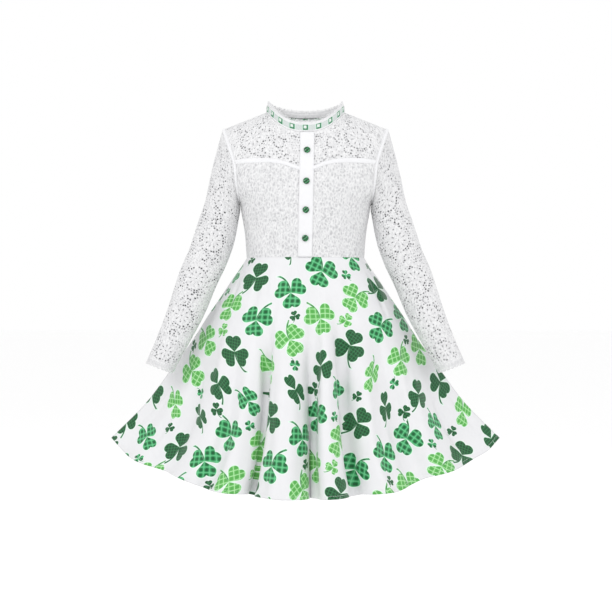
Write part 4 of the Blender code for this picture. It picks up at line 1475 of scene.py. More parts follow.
@dataclass(frozen=True)
class SkirtForm:
    """The flared skirt, held out at both sides: an oval at the waist, a lens at the hem."""

    side_edge: tuple[EdgePoint, ...] = table(
        EdgePoint,
        (0.113, -0.282), (0.1235, -0.299), (0.14, -0.322), (0.163, -0.357), (0.187, -0.392),
        (0.216, -0.438), (0.2617, -0.5), (0.303, -0.556), (0.3745, -0.629),
    )
    hem: tuple[EdgePoint, ...] = table(
        EdgePoint,
        (0.0, -0.7255), (0.16, -0.715), (0.238, -0.693), (0.306, -0.674), (0.346, -0.6545),
        (0.3745, -0.629),
    )
    front_flutes: tuple[Flute, ...] = table(
        Flute,
        (-0.318, 0.034, 0.007, 0.55), (-0.268, 0.036, -0.01, 0.35), (-0.212, 0.046, 0.012, 0.3),
        (-0.15, 0.04, 0.018, 0.35), (-0.098, 0.026, -0.024, 0.3), (-0.046, 0.052, 0.034, 0.26),
        (0.008, 0.026, -0.026, 0.36), (0.048, 0.034, 0.03, 0.18), (0.094, 0.036, -0.018, 0.26),
        (0.148, 0.044, 0.02, 0.33), (0.208, 0.044, -0.012, 0.3), (0.262, 0.04, 0.011, 0.35),
        (0.318, 0.034, -0.007, 0.55),
    )
    back_flutes: tuple[Flute, ...] = table(
        Flute,
        (-0.322, 0.036, 0.007, 0.5), (-0.27, 0.036, -0.011, 0.34), (-0.214, 0.044, 0.016, 0.3),
        (-0.158, 0.034, -0.017, 0.3), (-0.106, 0.04, 0.026, 0.24), (-0.056, 0.028, -0.022, 0.3),
        (0.0, 0.05, 0.016, 0.45), (0.052, 0.03, -0.02, 0.32), (0.101, 0.042, 0.027, 0.22),
        (0.156, 0.036, -0.018, 0.3), (0.209, 0.042, 0.015, 0.32), (0.266, 0.036, -0.01, 0.36),
        (0.32, 0.036, 0.008, 0.5),
    )
    waist: float = -0.2827
    waist_front: float = 0.0800
    waist_back: float = 0.0780
    hem_front: float = 0.200
    hem_back: float = 0.180
    lens_power: float = 1.7
    spread: float = 0.10
    flute_lean: float = 0.6
    wall_push: float = 0.0042
    half_gap: float = 0.0002

    @cached_property
    def edge_at(self) -> Curve:
        """The side edge's distance from the middle by height."""
        return table_curve(self.side_edge, "height", "half_width")

    @cached_property
    def hem_at(self) -> Curve:
        """The hem's height by distance from the middle."""
        return table_curve(self.hem, "half_width", "height")

    def fluting(self, hem_x: Array, share: Array, flutes: Sequence[Flute]) -> Array:
        """How far the folds carry the cloth out: for each fold a raised cosine about its
        place, growing from where it begins towards the hem and levelling off there.

        Args:
            hem_x: place along the hem.
            share: 0 at the waist, 1 at the hem.
            flutes: the folds.

        Returns:
            How far out the cloth stands.
        """
        stand = np.zeros_like(hem_x)
        for flute in flutes:
            near = np.clip(np.abs(hem_x - flute.hem_x) / flute.reach, 0, 1)
            grown = np.clip((share - flute.begins) / (1 - flute.begins), 0, 1)
            stand += flute.stand * (0.5 + 0.5 * np.cos(math.pi * near)) * grown * (2 - grown)
        return stand

    def surface(self, across: Array, share: Array, behind: bool) -> Array:
        """Points of the skirt.

        Width and depth open from the waist's oval to the hem's pointed lens along an even
        S, and the folds stand out from that, leaning outwards towards the sides. Their walls
        are pushed towards the hollows by a share of their slope.

        Args:
            across: from -1 to 1 between the side edges.
            share: 0 at the waist, 1 at the hem.
            behind: on the back.

        Returns:
            The points.
        """
        across, share = np.broadcast_arrays(np.asarray(across, float), np.asarray(share, float))
        spread = (1 + self.spread) * across - self.spread * across**3
        hem_x = self.hem[-1].half_width * spread
        z = between(self.waist, self.hem_at(np.abs(hem_x)), share)
        edge = self.edge_at(between(self.waist, self.hem[-1].height, share))
        opened = smooth(share)
        x = edge * between(np.sin(across * math.pi / 2), spread, opened)
        lens = 1 - np.abs(spread) ** self.lens_power
        waist_depth = self.waist_back if behind else self.waist_front
        depth = between(waist_depth, self.hem_back if behind else self.hem_front, share)
        form = between(np.cos(across * math.pi / 2), lens, opened)
        flutes = self.back_flutes if behind else self.front_flutes
        stand = self.fluting(hem_x, share, flutes)
        beyond, before = (self.fluting(hem_x + step, share, flutes) for step in (STEP, -STEP))
        slope = (beyond - before) / (2 * STEP)
        lean = np.sign(across) * across**2 * self.flute_lean
        y = depth * form + stand + self.half_gap
        steeper = -self.wall_push * slope * smooth(1 - np.abs(across), 0.0, 0.1)
        return np.stack([x + stand * lean + steeper, y if behind else -y, z], axis=-1)

    def grid(self, columns: Array, rows: Array, behind: bool, offset: float = 0.0) -> tuple[Array, Array]:
        """Skirt points moved out by offset, with outward normals.

        Args:
            columns: places across, from -1 to 1.
            rows: places down, from 0 to 1.
            behind: on the back.
            offset: how far out the points are moved.

        Returns:
            The points and the normals.
        """
        across, share = np.meshgrid(columns, rows, indexing="ij")
        sideways, down = surface_steps(partial(self.surface, behind=behind), across, share, 1)
        normals = unit(np.cross(down, sideways)) * (-1 if behind else 1)
        return self.surface(across, share, behind) + normals * offset, normals


def crease_depth(points: Array, flat: Array, creases: Sequence[Crease]) -> Array:
    """How far creases press the cloth in.

    Each crease is a straight line in the flat cloth between the grid points nearest its two
    ends. It is deepest along the line and falls off with the cube of the distance from it,
    and towards its ends as a half wave.

    Args:
        points: the cloth's points [column, row].
        flat: the same points in the flat cloth.
        creases: the creases to press.

    Returns:
        The depth at each point.
    """
    depth = np.zeros(points.shape[:2])
    for crease in creases:
        start = flat[nearest(points, crease.from_x, crease.from_z)]
        end = flat[nearest(points, crease.to_x, crease.to_z)]
        line = end - start
        along = np.clip(((flat - start) @ line) / max(float(line @ line), 1e-9), 0, 1)
        away = np.linalg.norm(flat - start - along[..., None] * line, axis=-1)
        strength = np.sqrt(np.sin(math.pi * along * (0.5 if crease.runs_out else 1.0)))
        depth += crease.depth * np.exp(-((away / crease.width) ** 3)) * strength
    return depth


def nearest(points: Array, x: float, z: float) -> tuple[int, int]:
    """The grid place that lies nearest to x and z as seen from the front or back."""
    far = (points[..., 0] - x) ** 2 + (points[..., 2] - z) ** 2
    found = np.unravel_index(int(np.argmin(far)), far.shape)
    return int(found[0]), int(found[1])


# Lace


class Flower(NamedTuple):
    """A flower in the lace: its middle in the flat cloth, its size, petals and turn, and how
    far its outline falls back between the petals."""

    across: float
    along: float
    radius: float
    petals: int
    turn: float
    notch: float


class Spot(NamedTuple):
    """Where a flower lies as seen from the front or back, with its size, petals and notch."""

    x: float
    z: float
    radius: float
    petals: int
    notch: float


@dataclass(frozen=True)
class LaceDesign:
    """Corded lace: padded flowers ringed with gaps, on a ground of uneven small gaps."""

    cell: float = 0.0054
    jitter: float = 0.24
    small_gap: float = 0.0006
    large_gap: float = 0.0019
    filled_loose: float = 0.30
    filled_crowd: float = 0.08
    sway: float = 0.0021
    border: float = 0.0022
    ring_out: float = 0.0022
    ring_pitch: float = 0.0053
    ring_gap: float = 0.0019
    outer_ring: float = 0.0044
    eye: float = 0.0011
    large_flower: float = 0.0125
    slot_out: float = 0.62
    slot_half: tuple[float, float] = (0.0008, 0.0019)
    widest_gap: float = 0.0038
    bar_height: float = 0.5
    ground_height: float = 0.46
    ground_dome: float = 0.22
    petal_height: float = 0.52
    petal_dome: float = 0.36
    cord_height: float = 0.16
    hub_height: float = 0.30
    vein_depth: float = 0.26
    hub_radius: float = 0.0031
    rise: float = 0.0011
    sink: float = 0.0004

    def ground_gaps(self, u: Array, v: Array, scale: Array, flowers: Sequence[Flower]) -> Array:
        """How far each point lies from the nearest gap of the ground.

        The flat cloth is swayed by slow waves, so that no rows show. Every cell of a
        staggered grid on it has one oval gap, moved, turned and sized by the cell's own
        fixed numbers, and left out where a flower or its ring reaches.

        Args:
            u: place across the flat cloth.
            v: place along it.
            scale: the size of the gaps there against their usual size.
            flowers: the flowers.

        Returns:
            The distance, below nought inside a gap.
        """
        swayed_u = u + self.sway * (np.sin(v / 0.0113 + 1.3) + np.sin((u + v) / 0.0191))
        swayed_v = v + self.sway * (np.sin(u / 0.0127 + 0.4) + np.sin((u - v) / 0.0173 + 2.0))
        best = np.full(u.shape, self.cell)
        cell_v = np.floor(swayed_v / self.cell)
        for step_v in (-1, 0, 1):
            j = cell_v + step_v
            stagger = 0.5 * np.mod(j, 2)
            cell_u = np.floor(swayed_u / self.cell - stagger)
            for step_u in (-1, 0, 1):
                i = cell_u + step_u
                middle_u = (i + 0.5 + stagger + self.jitter * (2 * scatter(i, j, 1) - 1)) * self.cell
                middle_v = (j + 0.5 + self.jitter * (2 * scatter(i, j, 2) - 1)) * self.cell
                crowd = 0.5 + 0.5 * np.sin(middle_u / 0.0079 + 1.9 * np.sin(middle_v / 0.0103 + 0.8))
                crowd = smooth(crowd, 0.40, 0.80)
                large = (0.25 + 0.75 * crowd) * scatter(i, j, 3) ** 0.8
                size = between(self.small_gap, self.large_gap, large) * scale
                filled = between(self.filled_loose, self.filled_crowd, crowd) + (1 - scale)
                covered = scatter(i, j, 4) < filled
                place_u, place_v = middle_u - swayed_u + u, middle_v - swayed_v + v
                for flower in flowers:
                    reach = flower.radius + self.ring_reach(flower.radius)
                    far = np.hypot(place_u - flower.across, place_v - flower.along)
                    covered = covered | (far < reach + size)
                angle = math.pi * scatter(i, j, 5)
                narrow = size * between(0.55, 1.0, scatter(i, j, 6))
                away_u, away_v = swayed_u - middle_u, swayed_v - middle_v
                p = (away_u * np.cos(angle) + away_v * np.sin(angle)) / size
                q = (away_v * np.cos(angle) - away_u * np.sin(angle)) / narrow
                gap = (np.hypot(p, q) - 1) * narrow
                best = np.minimum(best, np.where(covered, self.cell, gap))
        return best

    def ring_reach(self, radius: float) -> float:
        """How far the gaps round a flower reach out of its edge."""
        return self.ring_out + self.ring_gap + (self.outer_ring if radius > self.large_flower else 0.0)

    def ring_gaps(self, distance: Array, angle: Array, flower: Flower) -> Array:
        """Distance from the gaps that ring a flower: ovals at even angles, uneven in size
        and in how far out they lie, with a looser outer ring round a large flower.

        Args:
            distance: from the flower's middle.
            angle: round it, from 0 to a full turn.
            flower: the flower.

        Returns:
            The distance, below nought inside a gap.
        """
        rings = [(flower.radius + self.ring_out, 0.0, self.ring_gap, 0.10)]
        if flower.radius > self.large_flower:
            rings.append((flower.radius + self.ring_out + self.outer_ring, 0.5, 0.85 * self.ring_gap, 0.35))
        best = np.full(distance.shape, self.cell)
        for ring_radius, shift, size, left_out in rings:
            count = max(7, round(2 * math.pi * ring_radius / self.ring_pitch))
            at = angle / (2 * math.pi) * count + shift
            number = np.mod(np.floor(at), count)
            which = number + 31 * round(1e5 * flower.across)
            among = np.full_like(which, count)
            stray = 0.3 * scatter(which, among, 5) - 0.15
            aside = (at - np.floor(at) - 0.5 + stray) * 2 * math.pi / count * distance
            own = size * between(0.45, 1.05, scatter(which, among, 7))
            out = ring_radius + 0.0011 * (2 * scatter(which, among, 9) - 1)
            gap = (np.hypot(aside / own, (distance - out) / (0.85 * own)) - 1) * 0.85 * own
            arc = smooth(np.cos(angle + 9.0 * flower.along / self.large_flower), -0.7, 0.2)
            skipped = scatter(which, among, 8) < between(0.45, left_out, arc)
            best = np.minimum(best, np.where(skipped, self.cell, gap))
        return best

    def work(
        self, u: Array, v: Array, margin: Array, scale: Array, flowers: Sequence[Flower]
    ) -> tuple[Array, Array, Array]:
        """The lace over flat cloth.

        Args:
            u: place across the flat cloth.
            v: place along it.
            margin: how far inside a gapless margin each point lies.
            scale: the size of the gaps there against their usual size.
            flowers: its flowers.

        Returns:
            How far each point lies inside the thread, how high the thread stands there as a
            share, and how much the petals shade it.
        """
        gaps = self.ground_gaps(u, v, scale, flowers)
        petals = np.full(u.shape, -self.cell)
        inner = np.full(u.shape, self.cell)
        padded = np.zeros(u.shape)
        shade = np.zeros(u.shape)
        for flower in flowers:
            away_u, away_v = u - flower.across, v - flower.along
            distance = np.hypot(away_u, away_v)
            near = distance < flower.radius + self.ring_reach(flower.radius) + self.cell
            r, angle = distance[near], np.arctan2(away_v, away_u)[near] + flower.turn
            period = 2 * math.pi / flower.petals
            beside = np.abs(2 * np.mod(angle / period, 1.0) - 1)
            inside = flower.radius * (1 - flower.notch * beside**2.2) - r
            rings = self.ring_gaps(r, np.mod(angle, 2 * math.pi), flower)
            gaps[near] = np.minimum(gaps[near], rings + (1 - scale[near]) * self.ring_gap)
            petals[near] = np.maximum(petals[near], inside)
            if flower.radius > 2 * self.ring_out:
                inner[near] = np.minimum(inner[near], np.where(inside > 0, r - self.eye, self.cell))
            if flower.radius > self.large_flower:
                half_width, half_length = self.slot_half
                aside = (1 - beside) * r * period / 2 / half_width
                slot = (np.hypot(aside, (r - self.slot_out * flower.radius) / half_length) - 1) * half_width
                slot = slot + (1 - scale[near]) * half_length
                inner[near] = np.minimum(inner[near], np.where(inside > 0, slot, self.cell))
            dome = np.sqrt(np.clip(1 - beside**2, 0, 1)) * smooth(inside, 0, 0.35 * flower.radius)
            cord = bell(inside, 0.0008, 0.0006)
            hub = bell(r, self.hub_radius, 0.0008)
            vein = bell((1 - beside) * r * period / 2, 0.0, 0.0007) * smooth(r, 0.004, 0.006)
            high = self.petal_height + self.petal_dome * dome + self.cord_height * cord
            high = high + self.hub_height * hub - self.vein_depth * vein
            padded[near] = np.where(inside > 0, np.maximum(padded[near], high), padded[near])
            # Painted shade: darker in the petals' veins and towards their sides.
            shade[near] = np.where(inside > 0, 0.22 * vein + 0.05 * (1 - dome), shade[near])
        thread = np.minimum(np.maximum(gaps, petals), inner)
        thread = np.maximum(thread, margin)
        # The thread stands lower near the gaps' rims, and the lace material also paints shade there from this
        # height.
        ground = self.ground_height + self.ground_dome * smooth(thread, 0.0002, 0.0016)
        high = np.where(petals > 0, np.clip(padded, 0, 1.2), ground)
        return thread, high * smooth(thread, -0.0004, 0.0006), shade


def gap_labels(is_open: Array) -> Array:
    """Gives all the open points that touch by sides or corners one number of their own.

    Args:
        is_open: whether each point of a grid lies in a gap.

    Returns:
        The numbers, nought in thread.
    """
    labels = np.where(is_open, np.arange(1, is_open.size + 1).reshape(is_open.shape), 0)
    columns, rows = labels.shape
    while True:
        padded = np.pad(labels, 1)
        spread = np.max([padded[i : i + columns, j : j + rows] for i in range(3) for j in range(3)], axis=0)
        spread = np.where(is_open, spread, 0)
        if np.array_equal(spread, labels):
            return labels
        labels = spread


def narrow_gaps(points: Array, thread: Array, widest: float) -> Array:
    """Keeps the gaps of a grid from being wider than widest.

    A gap is measured between the two points of its rim that lie farthest apart. One that is
    a little too wide closes in all round, and one far too wide gets a bar through its
    middle, at right angles to its length. What is left is measured again.

    Args:
        points: the grid's points [column, row].
        thread: how far inside the thread each point lies, below nought in a gap.
        widest: the greatest width.

    Returns:
        The thread with its gaps narrowed.
    """
    flat, level = points.reshape(-1, 3), thread.ravel().copy()
    index = np.arange(thread.size).reshape(thread.shape)
    starts, ends = (np.concatenate(part) for part in zip(*edge_ends(index)))
    diagonal = np.linalg.norm(points[1:, 1:] - points[:-1, :-1], axis=-1)
    bar_half = 0.55 * np.pad(diagonal, ((0, 1), (0, 1)), mode="edge").ravel()
    for _ in range(8):
        labels = gap_labels((level <= 0).reshape(thread.shape)).ravel()
        parted = (level[starts] > 0) != (level[ends] > 0)
        first, second = starts[parted], ends[parted]
        share = np.clip(level[first] / (level[first] - level[second]), 0.04, 0.96)[:, None]
        rims, owners = between(flat[first], flat[second], share), np.maximum(labels[first], labels[second])
        order = np.argsort(owners, kind="stable")
        rims, owners = rims[order], owners[order]
        breaks = np.flatnonzero(np.diff(owners)) + 1
        found = False
        for rim, owner in zip(np.split(rims, breaks), owners[np.concatenate([[0], breaks])]):
            apart = np.linalg.norm(rim[:, None] - rim[None], axis=-1)
            width = float(apart.max())
            if width <= widest:
                continue
            found = True
            here = labels == owner
            if width < 1.25 * widest:
                level[here] += (width - widest) / 2 + 0.0001
                continue
            one, other = np.unravel_index(int(apart.argmax()), apart.shape)
            line = (rim[other] - rim[one]) / width
            away = np.abs((flat[here] - (rim[one] + rim[other]) / 2) @ line)
            level[here] = np.maximum(level[here], bar_half[here] - away)
        if not found:
            break
    return level.reshape(thread.shape)


@dataclass
class LaceSheet:
    """A piece of lace before its gaps are cut.

    Attributes:
        points: its grid of points [column, row].
        normals: directions off the cloth.
        across: place across the flat cloth.
        along: place along it.
        margin: how far inside a gapless margin each point lies.
        scale: the size of its gaps against their usual size.
        flowers: its flowers.
        around: whether the last column lies on the first.
        backed: whether there is lining behind each point.
    """

    points: Array
    normals: Array
    across: Array
    along: Array
    margin: Array
    scale: Array
    flowers: list[Flower]
    around: bool = False
    backed: Array | None = None

    def work(self, design: LaceDesign) -> Surface:
        """The lace: raised along the normals by the thread's height, its gaps cut.

        Args:
            design: the lace's design.

        Returns:
            The surface.
        """
        thread, high, shade = design.work(self.across, self.along, self.margin, self.scale, self.flowers)
        whole = narrow_gaps(self.points, thread, design.widest_gap)
        barred = np.maximum(high, design.bar_height * smooth(whole, -0.0004, 0.0006))
        high = np.where(whole > thread, barred, high)
        raised = self.points + self.normals * (high * design.rise - design.sink)[..., None]
        cloth = np.stack([self.across, self.along], axis=-1)
        backed = np.zeros(high.shape) if self.backed is None else self.backed.astype(float)
        maps = {
            "cloth": cloth,
            "relief": np.stack([high, shade], axis=-1),
            "backed": np.stack([backed, backed], axis=-1),
        }
        return cut_surface(raised, self.normals, whole, maps, self.around)


# Sub-assemblies


@dataclass(frozen=True)
class Cloths:
    """The materials that the pieces share."""

    lace: bpy.types.Material
    sleeve_lace: bpy.types.Material
    satin: bpy.types.Material
    cotton: bpy.types.Material
    thread: bpy.types.Material
    printed: bpy.types.Material
    printed_reverse: bpy.types.Material
    ribbon: bpy.types.Material
    picot: bpy.types.Material
    button: bpy.types.Material
    tape: bpy.types.Material
    lacquer: bpy.types.Material


def make_cloths() -> Cloths:
    """Makes every finish once.

    Returns:
        The materials.
    """
    weave = weave_group()
    clover = clover_group(CloverDesign())
    white = (0.80, 0.80, 0.81)
    soft_white = (0.78, 0.78, 0.79)
    satin = WovenFinish("white lining satin", soft_white, 0.42, 0.4, 1500.0, 0.00006, 0.25)
    printed = PrintFinish("clover printed poplin", (0.71, 0.71, 0.725), 0.45, 0.3, gloss=0.3)
    reverse = PrintFinish("reverse of the print", soft_white, 0.8, 0.3, 0.32)
    return Cloths(
        lace=LaceFinish("white lace", (0.785, 0.785, 0.79), 0.82).material(weave),
        # The bodice's lace again, painted a little darker as shade on the sleeves and cuffs.
        sleeve_lace=LaceFinish("white sleeve lace", (0.76, 0.76, 0.765), 0.82).material(weave),
        satin=satin.material(weave),
        cotton=WovenFinish("white cotton", (0.77, 0.77, 0.785), 0.75).material(weave),
        thread=PlainFinish("white thread", white, 0.6).material(),
        printed=printed.material(weave, clover),
        printed_reverse=reverse.material(weave, clover),
        ribbon=RibbonFinish("green figured ribbon", screen(206, 212, 210), 0.55).material(weave),
        picot=PlainFinish("white picot", white, 0.75).material(),
        button=ButtonFinish("dark green button", screen(20, 92, 50), 0.22, 0.0).material(),
        tape=WovenFinish("white zip tape", (0.85, 0.85, 0.86), 0.8, 0.2, 900.0).material(weave),
        lacquer=PlainFinish("white lacquered metal", (0.84, 0.84, 0.85), 0.32, 0.0, 300.0, 0.5).material(),
    )


FRONT_SPOTS = table(
    Spot,
    (0.062, -0.094, 0.0034, 5, 0.2), (0.078, -0.08, 0.003, 5, 0.2), (0.13, -0.086, 0.0034, 5, 0.2),
    (0.036, -0.094, 0.0032, 5, 0.2), (0.112, -0.16, 0.0034, 5, 0.2), (0.05, -0.178, 0.0034, 5, 0.2),
    (0.112, -0.224, 0.0034, 5, 0.2), (0.028, -0.238, 0.0034, 5, 0.2), (0.099, -0.056, 0.0205, 9, 0.2),
    (0.05, -0.066, 0.0085, 5, 0.3), (0.066, -0.128, 0.014, 8, 0.42), (0.126, -0.122, 0.0105, 6, 0.35),
    (0.029, -0.15, 0.009, 6, 0.35), (0.086, -0.19, 0.019, 8, 0.45), (0.036, -0.208, 0.011, 6, 0.3),
    (0.06, -0.246, 0.014, 8, 0.42), (0.101, -0.254, 0.011, 6, 0.32), (0.026, -0.262, 0.008, 5, 0.3),
)

BACK_SPOTS = table(
    Spot,
    (0.092, -0.05, 0.0205, 9, 0.2), (0.038, -0.056, 0.012, 6, 0.32), (0.06, -0.112, 0.019, 8, 0.44),
    (0.122, -0.118, 0.012, 6, 0.32), (0.024, -0.142, 0.0095, 5, 0.3), (0.094, -0.176, 0.019, 9, 0.22),
    (0.04, -0.19, 0.013, 8, 0.4), (0.07, -0.238, 0.019, 8, 0.44), (0.022, -0.24, 0.0095, 5, 0.3),
)


@dataclass(frozen=True)
class Bodice:
    """The lace front and backs and the satin lining beneath them."""

    form: BodiceForm
    cloths: Cloths
    design: LaceDesign = LaceDesign()
    neck_margin: float = 0.0058
    lined_scale: float = 0.50
    lining_offset: float = -0.0011
    lining_wall: float = 0.0006

    def flowers(self, points: Array, u: Array, v: Array, spots: Sequence[Spot]) -> list[Flower]:
        """The spots as flowers in the flat cloth, each turned a little further.

        Args:
            points: the cloth's points [column, row].
            u: place across the flat cloth.
            v: place along it.
            spots: where the flowers lie in view.

        Returns:
            The flowers.
        """
        found = []
        for number, spot in enumerate(spots):
            at = nearest(points, spot.x, spot.z)
            place, turn = (float(u[at]), float(v[at])), 0.7 * number
            found.append(Flower(*place, spot.radius, spot.petals, turn, spot.notch))
        return found

    def lace(self, part: str, columns: Array, behind: bool, side: int, spots: Sequence[Spot]) -> None:
        """One piece of the lace, the front or one back, cut and raised on the bodice's form.

        Args:
            part: front, back_left or back_right.
            columns: places across.
            behind: on the back.
            side: 1 for the left, -1 for the right.
            spots: where its flowers lie.
        """
        height_rows = self.form.even_rows(250, behind)
        points, normals = self.form.grid(columns, height_rows, behind)
        if behind:
            points[0, :, 0] += SEAM_GAP / 2
        points, normals = mirrored(side, points, normals)
        walked = lengths_along(points, 0)
        middle = 0 if behind else len(columns) // 2
        u = (walked - walked[middle]) * side
        v = lengths_along(points, 1)
        edge = np.minimum(np.minimum(v, v[:, -1:] - v), np.minimum(walked, walked[-1] - walked))
        on_neck = (np.abs(columns) < self.form.neck_share)[:, None]
        neck = np.where(on_neck, self.neck_margin - (v[:, -1:] - v), -1.0)
        margin = np.maximum(self.design.border - edge, neck)
        x, z = points[..., 0], points[..., 2]
        lined = z < (self.form.lining_top_side if behind else self.form.lining_top_at(np.abs(x)))
        scale = np.where(lined, self.lined_scale, 1.0)
        flowers = self.flowers(points, u, v, spots)
        sheet = LaceSheet(points, normals, u, v, margin, scale, flowers, backed=lined)
        node = part.replace("front", "front_lace").replace("back", "back_lace")
        piece = new_piece(f"{node}_cloth", sheet.work(self.design), [self.cloths.lace], [node])
        declare_sheet(points)

    def lining(self, part: str, columns: Array, behind: bool, side: int) -> None:
        """One piece of the lining, up to its top edge.

        Args:
            part: front, back_left or back_right.
            columns: places across.
            behind: on the back.
            side: 1 for the left, -1 for the right.
        """
        rows = self.form.even_rows(44, behind, 2.0)
        points, normals = self.form.grid(columns, rows, behind, self.lining_offset)
        points, normals = mirrored(side, points, normals)
        node = part.replace("front", "front_lining").replace("back", "back_lining")
        piece = cloth_piece(node, points, normals, self.cloths.satin, self.lining_wall)
        declare_sheet(points)

    def build(self) -> None:
        """Makes the three pieces of lace and the three of lining."""
        whole = np.linspace(-1, 1, 301)
        half = np.linspace(0, 1, 151)
        both = FRONT_SPOTS + tuple(spot._replace(x=-spot.x) for spot in FRONT_SPOTS)
        self.lace("front", whole, False, 1, both)
        self.lining("front", np.linspace(-1, 1, 65), False, 1)
        for name, side in SIDES:
            spots = [spot._replace(x=side * spot.x) for spot in BACK_SPOTS]
            self.lace(f"back_{name}", half, True, side, spots)
            self.lining(f"back_{name}", np.linspace(0, 1, 33), True, side)


@dataclass(frozen=True)
class FrontBand:
    """The buttoned front band, its buttons, and the bound edge of the lining beside it."""

    form: BodiceForm
    cloths: Cloths
    width: float = 0.0270
    top_offset: float = 0.0036
    waist_offset: float = -0.0010
    rise: float = 0.0021
    wall: float = 0.0010
    edge_drop: float = 0.0006
    edge_drop_width: float = 0.0008
    unevenness: float = 0.00025
    stitch_inset: float = 0.0016
    groove: float = 0.00025
    groove_width: float = 0.0005
    button_heights: tuple[float, ...] = (-0.0815, -0.1403, -0.1936, -0.2466)
    button_radius: float = 0.00625
    button_rise: float = 0.0037
    button_profile: tuple[tuple[float, float], ...] = (
        (0.0, 0.0), (0.60, 0.0), (0.84, 0.06), (0.96, 0.17), (1.0, 0.32), (0.985, 0.46), (0.93, 0.58),
        (0.88, 0.62), (0.80, 0.66), (0.66, 0.80), (0.46, 0.92), (0.24, 0.985), (0.0, 1.0),
    )
    edge_rise: float = 0.0021
    edge_below: float = 0.030
    edge_above: float = 0.036

    def middle(self, z: Array) -> Array:
        """The band leans a little off the middle, more so at the neck."""
        share = (z - self.form.waist) / (self.form.neck_front - self.form.waist)
        return between(self.waist_offset, self.top_offset, share)

    def band(self) -> None:
        """The band with its turned edges, and a row of stitches along each."""
        top = self.form.surface(np.zeros(1), np.array([3.0]), False)[0, 2]
        z_line = np.linspace(self.form.waist, top - 0.0004, 76)
        share = np.linspace(-0.5, 0.5, 33)
        across, z = np.meshgrid(share, z_line, indexing="ij")
        x = self.middle(z) + across * self.width
        from_edge = (0.5 - np.abs(across)) * self.width
        rounded = self.rise - self.edge_drop * (1 - smooth(from_edge, 0.0, self.edge_drop_width))
        groove = self.groove * bell(from_edge, self.stitch_inset, self.groove_width)
        waves = self.unevenness * np.sin(z * 210.0) * np.sin(z * 47.0 + 1.0)
        soft = waves * smooth(from_edge, 0.003, 0.010)
        points, normals = self.form.strip(x, z, False, (rounded - groove + soft)[..., None])
        maps = {"cloth": np.stack([x, z], axis=-1)}
        cotton, thread = self.cloths.cotton, self.cloths.thread
        piece = cloth_piece("placket", points, normals, cotton, self.wall, maps)
        for name, side in SIDES:
            column = np.argmin(np.abs(side * share * self.width - (self.width / 2 - self.stitch_inset)))
            sew(f"placket_stitches_{name}", points[column], normals[column], thread)
        declare_sheet(points)

    def button(self, number: int, height: float) -> None:
        """A domed button: a profile of radius and rise turned about the band's normal.

        Args:
            number: counted from the top.
            height: its middle's height.
        """
        z = np.array([height])
        place, normal = self.form.strip(self.middle(z), z, False, self.rise + 0.0004)
        profile = np.array(self.button_profile)
        radius, rise = profile[:, 0] * self.button_radius, profile[:, 1] * self.button_rise
        out = normal[0]
        sideways = unit(np.cross(UP, out))
        upward = np.cross(out, sideways)
        angle = np.linspace(0, 2 * math.pi, 33)[:, None, None]
        ring = np.cos(angle) * sideways + np.sin(angle) * upward
        points = place[0] + ring * radius[None, :, None] + out * rise[None, :, None]
        facing = ring + out * np.linspace(-1, 1, len(radius))[None, :, None]
        surface = grid_surface(points, facing, {}, around=True, poles=True)
        node = f"button_{number}"
        piece = new_piece(f"{node}_dome", surface, [self.cloths.button], [node])
        step = piece.modifiers.new("smooth", "SUBSURF")
        step.levels = step.render_levels = 1

    def lining_edge(self, name: str, side: int) -> None:
        """The padded strip along the lining's shaped edge, highest along its middle.

        Args:
            name: left or right.
            side: 1 for the left, -1 for the right.
        """
        edge_height = self.form.surface(np.zeros(1), np.array([2.0]), False)[0, 2]
        clear = side * float(self.middle(edge_height)) + self.width / 2 - 0.0010
        first = math.asin(clear / self.form.lining_top_half_width) * 2 / math.pi
        columns = side * np.linspace(first, 0.992, 110)
        rows = np.linspace(2 - self.edge_below, 2 + self.edge_above, 13)
        over = np.cos(np.linspace(-1, 1, 13) * math.pi / 2)
        offset = between(0.0006, self.edge_rise, over)[None, :, None]
        points, normals = self.form.grid(columns, rows, False, offset)
        piece = cloth_piece(f"lining_edge_{name}", points, normals, self.cloths.cotton)
        declare_sheet(points)

    def build(self) -> None:
        """Makes the band, the buttons and the lining's edge."""
        self.band()
        for number, height in enumerate(self.button_heights, 1):
            self.button(number, height)
        for name, side in SIDES:
            self.lining_edge(name, side)


